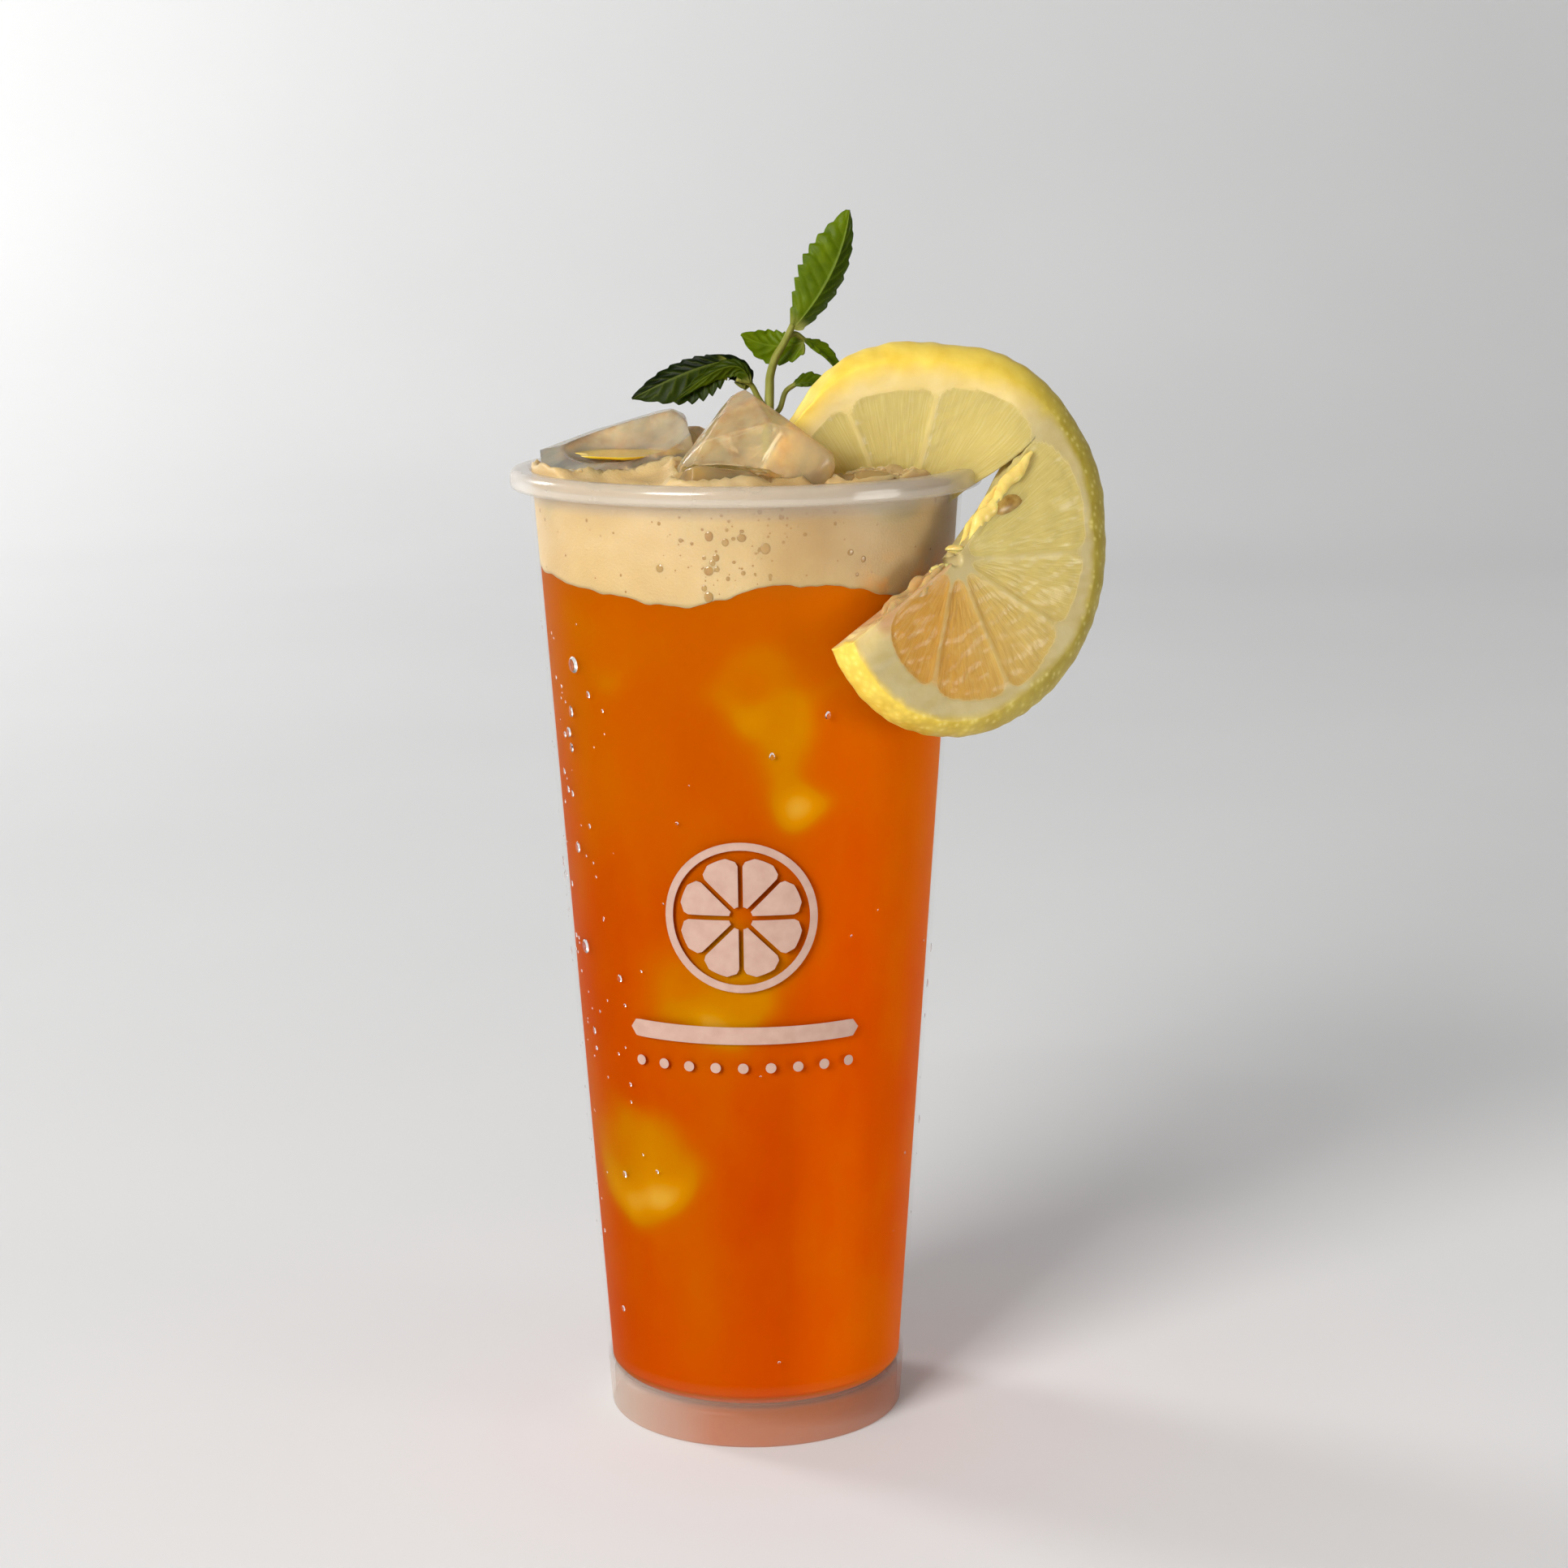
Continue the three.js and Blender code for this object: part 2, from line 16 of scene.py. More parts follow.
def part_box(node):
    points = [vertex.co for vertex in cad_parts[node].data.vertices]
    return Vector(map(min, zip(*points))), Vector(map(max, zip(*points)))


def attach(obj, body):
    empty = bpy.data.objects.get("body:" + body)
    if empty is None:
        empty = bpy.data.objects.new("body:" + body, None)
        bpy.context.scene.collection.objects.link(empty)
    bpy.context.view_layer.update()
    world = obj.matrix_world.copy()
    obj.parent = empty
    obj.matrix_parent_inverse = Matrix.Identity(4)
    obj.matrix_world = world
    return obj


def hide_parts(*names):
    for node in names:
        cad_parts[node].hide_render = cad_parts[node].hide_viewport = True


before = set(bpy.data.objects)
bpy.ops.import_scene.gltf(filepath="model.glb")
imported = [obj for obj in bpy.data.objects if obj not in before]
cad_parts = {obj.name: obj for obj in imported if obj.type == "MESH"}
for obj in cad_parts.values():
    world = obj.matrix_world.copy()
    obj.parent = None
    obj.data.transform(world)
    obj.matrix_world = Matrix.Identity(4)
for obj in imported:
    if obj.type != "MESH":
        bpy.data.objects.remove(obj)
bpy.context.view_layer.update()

# ---- sizes ----
# In mm, but for MM itself and the boxes, which are in metres.
MM = 0.001
CUP_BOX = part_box("cup")
AXIS_X = (CUP_BOX[0].x + CUP_BOX[1].x) / 2
CUP_HEIGHT = CUP_BOX[1].z / MM
FOOT_RADIUS = 28.98
# How much the radius grows per mm of height.
TAPER = 0.06756
WALL = 0.6
FLOOR_TOP = 8.0
FLOOR_UNDERSIDE = 7.3
# Points round every shape turned about the cup's axis, and their angles.
SIDES = 256
TURN = np.linspace(-np.pi, np.pi, SIDES, endpoint=False)
FOAM_LEVEL = CUP_HEIGHT - 1.6
TOP_ICE = [f"ice_cube_{k:02d}" for k in range(1, 7)]
SUNK_ICE = [f"ice_cube_{k:02d}" for k in range(7, 16)]
SLAB = "ice_cube_03"


def outer_radius(z):
    return FOOT_RADIUS + TAPER * z


def inner_radius(z):
    return outer_radius(z) - WALL


def to_axis(points):
    """Points in mm from the row frame to about the cup's axis."""
    return points - (AXIS_X / MM, 0, 0)


def from_axis(points):
    return points + (AXIS_X / MM, 0, 0)


# ---- small maths ----
def unit(v):
    return np.asarray(v, float) / np.linalg.norm(v)


def smoothstep(x, low, high):
    t = np.clip((np.asarray(x, float) - low) / (high - low), 0, 1)
    return t * t * (3 - 2 * t)


def lerp(a, b, t):
    return a + (b - a) * t


def wrap_degrees(a):
    return (np.asarray(a) + 180) % 360 - 180


def ripple(points, wavelength, seed, terms=9):
    """Smooth noise at points in mm, mostly within -1 to 1: waves in random directions."""
    draw = np.random.default_rng(seed)
    directions = draw.normal(size=(terms, 3))
    directions /= np.linalg.norm(directions, axis=1)[:, None]
    lengths = wavelength * draw.uniform(0.7, 1.6, terms)
    phases = draw.uniform(0, 2 * np.pi, terms)
    waves = np.sin(points @ (2 * np.pi * directions / lengths[:, None]).T + phases)
    return waves.sum(-1) / math.sqrt(terms)


def cells(a, b, seed):
    """A pattern of cells about 1 wide: how far each point is from its cell's border, and a random
    number from 0 to 1 for its cell."""
    table = np.random.default_rng(seed).uniform(0, 1, (3, 4096))
    nearest = np.full(a.shape, 9.0)
    second = np.full(a.shape, 9.0)
    number = np.zeros(a.shape)
    for i in (-1, 0, 1):
        for j in (-1, 0, 1):
            ca, cb = np.floor(a) + i, np.floor(b) + j
            key = (ca * 73 + cb * 179).astype(int) % 4096
            away = np.hypot(ca + table[0][key] - a, cb + table[1][key] - b)
            closer = away < nearest
            second = np.where(closer, nearest, np.minimum(second, away))
            number = np.where(closer, table[2][key], number)
            nearest = np.where(closer, away, nearest)
    return second - nearest, number


def hermite(table, x):
    """A smooth curve through a table of (x, y) pairs."""
    xs, ys = np.array(table, float).T
    slopes = np.gradient(ys, xs)
    k = np.clip(np.searchsorted(xs, x, side="right") - 1, 0, len(xs) - 2)
    span = xs[k + 1] - xs[k]
    t = (x - xs[k]) / span
    t2, t3 = t * t, t * t * t
    ends = (2 * t3 - 3 * t2 + 1) * ys[k] + (3 * t2 - 2 * t3) * ys[k + 1]
    return ends + ((t3 - 2 * t2 + t) * slopes[k] + (t3 - t2) * slopes[k + 1]) * span


# ---- meshes ----
def grid_quads(rows, columns, wrap_rows=False, wrap_columns=False):
    """Faces of a grid of points that are stored row by row."""
    i = np.arange(rows if wrap_rows else rows - 1)[:, None]
    j = np.arange(columns if wrap_columns else columns - 1)[None, :]
    down, right = (i + 1) % rows, (j + 1) % columns
    corners = [i * columns + j, down * columns + j, down * columns + right, i * columns + right]
    return np.stack(np.broadcast_arrays(*corners), -1).reshape(-1, 4)


def grid_part(points, values=None, **wraps):
    """The points of a grid, its faces and its values, as build_joined() takes them."""
    flat = {key: value.reshape(-1, *value.shape[2:]) for key, value in (values or {}).items()}
    return points.reshape(-1, 3), grid_quads(*points.shape[:2], **wraps), flat


def full_turn(count):
    return np.linspace(0, 2 * np.pi, count, endpoint=False)


def turned(r, turn, z):
    """Points at a radius, an angle and a height about the z axis."""
    return np.stack(np.broadcast_arrays(r * np.cos(turn), r * np.sin(turn), z), -1)


def lathe(profile):
    """A grid of points: a line of (radius, z) pairs turned about the cup's axis."""
    r, z = np.array(profile, float).T
    return turned(r[:, None], TURN, z[:, None])


def arc(centre, radius, start, end, steps):
    """Points of an arc from one angle to another, in degrees."""
    turn = np.radians(np.linspace(start, end, steps))
    return [(centre[0] + radius * math.cos(a), centre[1] + radius * math.sin(a)) for a in turn]


def build(name, points, faces, material, slot, replaces=(), values=None, weld=0.0, smooth=True):
    """A piece that rides on the root body. values are its attributes, one number or one vector a
    point. Points closer than weld are joined."""
    placed = np.array(points, float) * MM
    placed[:, 0] += AXIS_X
    mesh = bpy.data.meshes.new(name)
    mesh.from_pydata(placed.tolist(), [], faces.tolist())
    for key, value in (values or {}).items():
        kind, field = ("FLOAT", "value") if np.ndim(value) == 1 else ("FLOAT_VECTOR", "vector")
        attribute = mesh.attributes.new(key, kind, "POINT")
        attribute.data.foreach_set(field, np.asarray(value, np.float32).ravel())
    work = bmesh.new()
    work.from_mesh(mesh)
    if weld:
        bmesh.ops.remove_doubles(work, verts=work.verts, dist=weld * MM)
    bmesh.ops.recalc_face_normals(work, faces=work.faces)
    work.to_mesh(mesh)
    work.free()
    if smooth:
        mesh.shade_smooth()
    return adopt(bpy.data.objects.new(name, mesh), material, replaces)


def adopt(piece, material, replaces=()):
    """Puts a piece in the scene with its material and the node it stands for."""
    if piece.name not in bpy.context.scene.collection.objects:
        bpy.context.scene.collection.objects.link(piece)
    piece.data.materials.clear()
    piece.data.materials.append(material)
    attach(piece, "root")
    if replaces:
        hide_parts(*replaces)
    return piece


def build_joined(name, parts, *looks, **options):
    """Several (points, faces, values) as one piece, by build()."""
    points, faces, values = [], [], {}
    start = 0
    for part_points, part_faces, part_values in parts:
        points.append(part_points)
        faces.append(part_faces + start)
        for key, value in part_values.items():
            values.setdefault(key, []).append(value)
        start += len(part_points)
    values = {key: np.concatenate(value) for key, value in values.items()}
    build(name, np.concatenate(points), np.concatenate(faces), *looks, values=values, **options)


def solid_tree(names):
    """A search tree over CAD nodes at rest, in the row frame in metres, and the node of each face."""
    points, faces, owners = [], [], []
    for name in names:
        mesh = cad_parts[name].data
        start = len(points)
        points.extend(v.co.copy() for v in mesh.vertices)
        faces.extend([start + k for k in polygon.vertices] for polygon in mesh.polygons)
        owners.extend([name] * len(mesh.polygons))
    return BVHTree.FromPolygons(points, faces), owners


# ---- materials ----
def rgb(red, green, blue):
    """A colour from its 0 to 255 screen values."""
    share = np.array([red, green, blue]) / 255
    linear = np.where(share <= 0.04045, share / 12.92, ((share + 0.055) / 1.055) ** 2.4)
    return (*linear.tolist(), 1.0)


class Paint:
    """A node material in the making. Each call adds a node and gives its output."""

    def __init__(self, name):
        self.material = bpy.data.materials.new(name)
        self.material.use_nodes = True
        self.tree = self.material.node_tree
        self.tree.nodes.clear()
        self.place = self.add("TexCoord").outputs["Object"]

    def add(self, kind, inputs=None, **settings):
        node = self.tree.nodes.new("ShaderNode" + kind)
        for key, value in settings.items():
            setattr(node, key, value)
        for key, value in (inputs or {}).items():
            if isinstance(value, bpy.types.NodeSocket):
                self.tree.links.new(value, node.inputs[key])
            else:
                node.inputs[key].default_value = value
        return node

    def value(self, name):
        return self.add("Attribute", attribute_name=name).outputs["Fac"]

    def vector(self, name):
        return self.add("Attribute", attribute_name=name).outputs["Vector"]

    def scaled(self, vector, factors):
        return self.add("VectorMath", {0: vector, 1: factors}, operation="MULTIPLY").outputs[0]

    def noise(self, scale, detail=2.0, vector=None):
        inputs = {"Vector": vector or self.place, "Scale": scale, "Detail": detail}
        return self.add("TexNoise", inputs).outputs["Fac"]

    def voronoi(self, scale, vector=None):
        """How far each place is from the middle of its cell."""
        inputs = {"Vector": vector or self.place, "Scale": scale}
        return self.add("TexVoronoi", inputs).outputs["Distance"]

    def stops(self, factor, stops):
        node = self.add("ValToRGB", {"Fac": factor})
        elements = node.color_ramp.elements
        while len(elements) < len(stops):
            elements.new(0.5)
        for element, (position, colour) in zip(elements, stops):
            element.position = position
            element.color = colour
        return node.outputs["Color"]

    def ramp(self, factor, *stops):
        """Colours by factor. Each stop is its position and its colour's 0 to 255 screen values."""
        return self.stops(factor, [(position, rgb(*colour)) for position, *colour in stops])

    def levels(self, factor, *stops):
        """Greys by factor. Each stop is its position and its brightness."""
        return self.stops(factor, [(position, (value,) * 3 + (1,)) for position, value in stops])

    def fade(self, factor, low, high, at_low=0.0, at_high=1.0):
        """A value that goes in a straight line from at_low to at_high, and stays there."""
        inputs = {"Value": factor, "From Min": low, "From Max": high, "To Min": at_low,
                  "To Max": at_high}
        return self.add("MapRange", inputs).outputs["Result"]

    def mix(self, factor, a, b, blend="MIX"):
        inputs = {0: factor, 6: a, 7: b}
        return self.add("Mix", inputs, data_type="RGBA", blend_type=blend).outputs[2]

    def math(self, operation, a, b=0.0):
        return self.add("Math", {0: a, 1: b}, operation=operation).outputs[0]

    def times(self, first, *others):
        for other in others:
            first = self.math("MULTIPLY", first, other)
        return first

    def bump(self, height, distance, strength=1.0, normal=None):
        """A normal, tilted as if the height stood distance mm out of the surface."""
        inputs = {"Height": height, "Distance": distance * MM, "Strength": strength}
        if normal:
            inputs["Normal"] = normal
        return self.add("Bump", inputs).outputs["Normal"]

    def principled(self, colour, **inputs):
        named = {key.replace("_", " "): value for key, value in inputs.items()}
        return self.add("BsdfPrincipled", {"Base Color": colour, **named}).outputs[0]

    def blend(self, factor, a, b):
        return self.add("MixShader", {0: factor, 1: a, 2: b}).outputs[0]

    def done(self, surface):
        self.add("OutputMaterial", {"Surface": surface})
        return self.material


def cup_material():
    """Clear plastic, milky where it is thick: a little of it is seen, the rest is seen through."""
    paint = Paint("clear_plastic")
    cloud = paint.fade(paint.noise(120, 3), 0.3, 0.7, 0.94, 1.06)
    milk = paint.times(paint.value("milk"), cloud)
    normal = paint.bump(paint.noise(500, 2), 0.01, 0.2)
    # Painted light: warm tints the milky foot orange, as light from the tea glows in it.
    colour = paint.mix(paint.value("warm"), rgb(210, 198, 180), rgb(200, 104, 30))
    body = paint.principled(colour, Roughness=0.3, Normal=normal, IOR=1.4)
    clear = paint.add("BsdfTransparent", {"Color": (0.99, 0.988, 0.985, 1)}).outputs[0]
    gloss = paint.add("BsdfGlossy", {"Color": (1, 1, 1, 1), "Roughness": 0.13, "Normal": normal})
    facing = paint.add("LayerWeight", {"Blend": 0.5, "Normal": normal}).outputs["Facing"]
    edge = paint.math("POWER", facing, 6.0)
    front = paint.math("SUBTRACT", 1.0, paint.add("NewGeometry").outputs["Backfacing"])
    sheen = paint.times(edge, front, 0.3)
    sheen = paint.math("ADD", sheen, paint.times(milk, 0.08, front))
    return paint.done(paint.blend(sheen, paint.blend(milk, clear, body), gloss.outputs[0]))


def tea_material():
    """Hazy orange tea. glow is high where ice lies close behind the wall, the ice showing through
    the haze with painted light along each cube's lower edge. lift goes from 0 on the left to 1 on
    the right and paints shade on the tea's left and light on its right, as if more light came
    through there."""
    paint = Paint("fruit_tea")
    swirl = paint.noise(30, 3, paint.scaled(paint.place, (1.0, 1.0, 0.7)))
    streak = paint.noise(70, 4, paint.scaled(paint.place, (1.0, 1.0, 0.4)))
    depth = paint.mix(0.3, swirl, streak)
    body = paint.ramp(depth, (0.3, 222, 72, 0), (0.48, 230, 92, 0), (0.7, 234, 118, 0))
    height = paint.add("SeparateXYZ", {0: paint.place}).outputs["Z"]
    body = paint.mix(paint.fade(height, 0.035, 0.008, 0, 0.7), body, rgb(238, 92, 0))
    body = paint.mix(paint.fade(height, 0.10, 0.16, 0, 0.75), body, rgb(226, 112, 0))
    # Ice showing through the haze, with painted light: where glow is high the tea is brighter and
    # yellower.
    glow = paint.times(paint.value("glow"), paint.fade(streak, 0.3, 0.7, 0.8, 1.2))
    lit = paint.ramp(glow, (0.0, 228, 108, 0), (0.35, 232, 142, 0), (0.65, 244, 160, 4),
                     (1.0, 255, 190, 60))
    colour = paint.mix(paint.fade(glow, 0.0, 0.35), body, lit)
    # Painted light and shade: lift darkens the tea on its left and keeps it bright on its right.
    lift = paint.levels(paint.value("lift"), (0, 0.42), (0.2, 0.52), (0.42, 0.55), (0.6, 0.6),
                        (0.8, 0.88), (1, 1))
    colour = paint.mix(1.0, colour, lift, blend="MULTIPLY")
    surface = paint.principled(colour, Roughness=0.5, IOR=1.33, Specular_IOR_Level=0.0,
                               Subsurface_Weight=0.3, Subsurface_Scale=0.02,
                               Subsurface_Radius=(1.0, 0.3, 0.02), Normal=paint.bump(streak, 0.05))
    return paint.done(surface)


def foam_material():
    """Cream froth with fine pores. thin is 1 where the tea shows through it, stain where it has
    soaked it, and pit in the gap beside the middle cube, where the froth is painted dark brown as
    shade."""
    paint = Paint("cream_foam")
    cloud = paint.noise(70, 4)
    colour = paint.ramp(cloud, (0.3, 192, 160, 106), (0.5, 200, 170, 116), (0.7, 208, 180, 130))
    patches = paint.fade(paint.noise(110, 3), 0.3, 0.7, 0.55, 1)
    thin = paint.times(paint.value("thin"), patches)
    colour = paint.mix(thin, colour, rgb(174, 138, 84))
    stains = paint.fade(paint.noise(160, 3), 0.42, 0.6)
    stain = paint.times(paint.value("stain"), stains)
    colour = paint.mix(stain, colour, rgb(226, 160, 76))
    # Painted shade: pit darkens the froth to a dark brown down in the gap.
    colour = paint.mix(paint.fade(paint.value("pit"), 0.2, 0.7), colour, rgb(104, 50, 8))
    pores = paint.voronoi(1500)
    colour = paint.mix(paint.fade(pores, 0.22, 0.05, 0, 0.28), colour, rgb(188, 150, 96))
    fine = paint.voronoi(2600)
    normal = paint.bump(paint.mix(0.5, pores, fine), 0.12, 0.6)
    surface = paint.principled(colour, Roughness=0.5, Subsurface_Weight=0.5, Normal=normal,
                               Subsurface_Scale=0.004, Subsurface_Radius=(1.0, 0.7, 0.35))
    return paint.done(surface)


def bubble_material():
    paint = Paint("foam_bubble")
    colour = paint.ramp(paint.noise(300, 2), (0.35, 172, 126, 72), (0.65, 186, 142, 86))
    # Painted shade: each bubble is darker towards its rim, by how far its surface turns from the view.
    rim = paint.add("LayerWeight", {"Blend": 0.4}).outputs["Facing"]
    colour = paint.mix(paint.times(rim, 0.5), colour, rgb(166, 116, 62))
    return paint.done(paint.principled(colour, Roughness=0.12, Subsurface_Weight=0.3,
                                       Subsurface_Scale=0.002))


def froth_material():
    """The clear small bubbles that sit on the foam: mostly seen through, with a bright edge."""
    paint = Paint("froth_bubble")
    edge = paint.add("LayerWeight", {"Blend": 0.35}).outputs["Facing"]
    film = paint.ramp(paint.noise(700, 1), (0.3, 232, 206, 150), (0.7, 250, 240, 214))
    shell = paint.principled(film, Roughness=0.08, IOR=1.33)
    clear = paint.add("BsdfTransparent", {"Color": (1, 0.98, 0.92, 1)}).outputs[0]
    return paint.done(paint.blend(paint.fade(edge, 0.15, 0.85, 0.12, 0.9), clear, shell))


def ice_material(name, tint, deep, cloudiness):
    """Wet ice: clear with cloudy veils, tinted by the tea that runs down it, deepest where edge is
    1, along its edges."""
    paint = Paint(name)
    veil = paint.noise(110, 4)
    fine = paint.noise(420, 3)
    colour = paint.mix(paint.fade(veil, 0.42, 0.68), tint, deep)
    edge = paint.times(paint.value("edge"), paint.fade(fine, 0.35, 0.6))
    colour = paint.mix(paint.times(edge, 0.45), colour, rgb(228, 160, 92))
    cloud = paint.fade(veil, 0.36, 0.7, cloudiness * 0.6, cloudiness * 1.4)
    clear = paint.math("SUBTRACT", 1.0, cloud)
    normal = paint.bump(fine, 0.1, 0.3)
    surface = paint.principled(colour, Roughness=paint.fade(fine, 0.4, 0.7, 0.02, 0.1), IOR=1.31,
                               Transmission_Weight=clear, Subsurface_Weight=0.6, Normal=normal,
                               Subsurface_Scale=0.009, Subsurface_Radius=(1.0, 0.8, 0.5))
    return paint.done(surface)


def lemon_material():
    """Rind, pith and flesh in one body, told apart by the attributes of its mesh: skin is 1 on the
    rind and flesh on the flesh. green, dots and warm go round the slice with its angle, pulp is low
    between the cells of the flesh, amber is 1 on its lower segments and film on torn membrane."""
    paint = Paint("lemon")
    polar = paint.vector("polar")
    glands = paint.voronoi(680)
    speckle = paint.noise(220, 3)
    yellow = paint.ramp(speckle, (0.3, 228, 192, 70), (0.7, 240, 212, 96))
    green = paint.ramp(speckle, (0.3, 158, 140, 44), (0.7, 176, 158, 66))
    rind = paint.mix(paint.value("green"), yellow, green)
    pale = paint.mix(paint.value("green"), rgb(244, 222, 130), rgb(206, 190, 112))
    dots = paint.value("dots")
    middles = paint.times(paint.fade(glands, 0.34, 0.16, 0, 0.6), dots)
    rind = paint.mix(middles, rind, pale)
    borders = paint.times(paint.fade(glands, 0.42, 0.62, 0.0, 0.22), dots)
    rind = paint.mix(borders, rind, rgb(150, 118, 24))
    mottle = paint.noise(180, 4)
    pith = paint.ramp(mottle, (0.3, 180, 160, 104), (0.7, 190, 174, 126))
    warm_pith = paint.ramp(mottle, (0.3, 222, 196, 124), (0.7, 230, 208, 148))
    pith = paint.mix(paint.value("warm"), pith, warm_pith)
    streak = paint.noise(1.0, 3, paint.scaled(polar, (7.0, 0.9, 1.0)))
    flesh = paint.ramp(streak, (0.25, 214, 193, 112), (0.5, 222, 201, 122), (0.8, 234, 217, 146))
    amber = paint.ramp(streak, (0.25, 208, 150, 62), (0.5, 216, 162, 72), (0.8, 228, 184, 102))
    flesh = paint.mix(paint.value("amber"), flesh, amber)
    flesh = paint.mix(paint.fade(paint.value("pulp"), 0.12, 0.0, 0.0, 0.2), flesh, rgb(226, 204, 130))
    # Painted highlights: small bright glints scattered on the flesh.
    painted_glint = paint.voronoi(1.0, vector=paint.scaled(polar, (3.2, 0.9, 1.0)))
    painted_glint = paint.times(paint.fade(painted_glint, 0.11, 0.05), paint.fade(speckle, 0.5, 0.6))
    flesh = paint.mix(paint.times(painted_glint, 0.45), flesh, rgb(255, 246, 206))
    colour = paint.mix(paint.value("flesh"), pith, flesh)
    colour = paint.mix(paint.value("film"), colour, rgb(222, 176, 122))
    colour = paint.mix(paint.value("skin"), colour, rind)
    pits = paint.bump(glands, 0.02, paint.times(paint.value("skin"), dots))
    fibres = paint.bump(streak, 0.12, paint.times(paint.value("flesh"), 0.3), pits)
    grain = paint.bump(paint.noise(900, 3), 0.08, 0.5, fibres)
    wet = paint.fade(paint.value("flesh"), 0.0, 1.0, 0.38, 0.18)
    moist = paint.math("MAXIMUM", paint.value("flesh"), paint.value("film"))
    clear = paint.times(moist, 0.3)
    surface = paint.principled(colour, Roughness=wet, Normal=grain, IOR=1.35,
                               Transmission_Weight=clear, Subsurface_Weight=0.4,
                               Subsurface_Scale=0.003, Subsurface_Radius=(1.0, 0.8, 0.4))
    return paint.done(surface)


def seed_material():
    paint = Paint("lemon_seed")
    colour = paint.ramp(paint.noise(500, 3), (0.3, 134, 94, 32), (0.7, 184, 148, 74))
    return paint.done(paint.principled(colour, Roughness=0.25, Subsurface_Weight=0.3,
                                       Subsurface_Scale=0.002))


def mint_material():
    """Leaf and stem, with painted light and shade: each leaf is mixed from a lit bright green and a
    near-black shaded green by its level of painted shade, 1 where a leaf is darkest; vein is 1
    along the veins and stem is 1 on the stem."""
    paint = Paint("mint_leaf")
    mottle = paint.noise(330, 4)
    lit_leaf = paint.ramp(mottle, (0.3, 82, 104, 0), (0.7, 110, 130, 6))
    shaded_leaf = paint.ramp(mottle, (0.3, 8, 17, 0), (0.7, 22, 34, 0))
    leaf = paint.mix(paint.value("shade"), lit_leaf, shaded_leaf)
    leaf = paint.mix(paint.times(paint.value("vein"), 0.4), leaf, rgb(134, 150, 44))
    stem = paint.ramp(paint.noise(200, 2), (0.3, 134, 136, 54), (0.7, 166, 164, 86))
    colour = paint.mix(paint.value("stem"), leaf, stem)
    normal = paint.bump(paint.noise(1300, 3), 0.06, 0.6)
    surface = paint.principled(colour, Roughness=0.45, Subsurface_Weight=0.15, Normal=normal,
                               Specular_IOR_Level=0.12, Subsurface_Scale=0.001,
                               Subsurface_Radius=(0.6, 1.0, 0.1))
    glow = paint.add("BsdfTranslucent", {"Color": colour, "Normal": normal}).outputs[0]
    return paint.done(paint.blend(0.25, surface, glow))


def droplet_material():
    paint = Paint("water_droplet")
    normal = paint.bump(paint.noise(500, 1), 0.02, 0.3)
    return paint.done(paint.principled((1, 1, 1, 1), Roughness=0.02, IOR=1.33,
                                       Transmission_Weight=1.0, Normal=normal))


def print_material():
    paint = Paint("pale_print")
    colour = paint.ramp(paint.noise(400, 3), (0.3, 176, 140, 124), (0.7, 186, 152, 136))
    return paint.done(paint.principled(colour, Roughness=0.45, Normal=paint.bump(
        paint.noise(2500, 2), 0.01, 0.5)))


def puddle_material():
    """Yellow tea that lies in the hollow of an ice cube."""
    paint = Paint("tea_puddle")
    colour = paint.ramp(paint.noise(300, 3), (0.3, 232, 178, 8), (0.7, 248, 214, 40))
    return paint.done(paint.principled(colour, Roughness=0.08, IOR=1.33, Transmission_Weight=0.25,
                                       Normal=paint.bump(paint.noise(700, 2), 0.05)))


# ---- cup ----
def cup_profile():
    """Half the cup in section, from under the floor, round the foot, up to the rim and back down."""
    skirt, rows = 0.8, 60
    under = [(0, FLOOR_UNDERSIDE), (26.6, FLOOR_UNDERSIDE)]
    under += arc((26.9, FLOOR_UNDERSIDE - 1.6), 1.6, 90, 12, 6)
    foot = [(FOOT_RADIUS - skirt + 0.25, 4.0), (FOOT_RADIUS - skirt, 0.4)]
    foot += arc((FOOT_RADIUS - skirt / 2, skirt / 2), skirt / 2, 180, 360, 9)
    wall_top = 183.9
    outside = [(outer_radius(z), z) for z in np.linspace(1.2, wall_top, rows)]
    groove = [(41.75, 184.7), (42.25, 185.1), (42.8, 185.0), (43.1, 184.7)]
    lip = arc((44.05, 184.65), 0.95, 185, 360, 12)
    top = arc((43.5, CUP_HEIGHT - 1.5), 1.5, 0, 90, 9)
    inner = arc((42.0, CUP_HEIGHT - 1.2), 1.2, 90, 172, 8)
    inside = [(inner_radius(z), z) for z in np.linspace(183.6, FLOOR_TOP + 1.8, rows)]
    corner = arc((inner_radius(FLOOR_TOP) - 1.6, FLOOR_TOP + 1.6), 1.6, 0, -90, 7)
    return under + foot + outside + groove + lip + top + inner + inside + corner + [(0, FLOOR_TOP)]


def make_cup():
    points, faces, _ = grid_part(lathe(cup_profile()), wrap_columns=True)
    z = points[:, 2]
    reach = np.hypot(points[:, 0], points[:, 1])
    rim = smoothstep(z, 182.5, 184.5)
    foot = 1 - smoothstep(z, 7.0, 10.5)
    floor = (reach < 27.5) & (z < 9)
    milk = 0.36 * rim + 0.32 * foot + 0.03 * smoothstep(z, 166, 184)
    milk[floor] = 0.3
    # warm: painted orange light from the tea in the foot, less of it on the left side.
    values = {"milk": milk, "warm": foot * (1 - 0.7 * np.clip((-8 - points[:, 0]) / 20, 0, 1))}
    build("cup_body", points, faces, cup_material(), "cup", ["cup"], values, weld=1e-3)


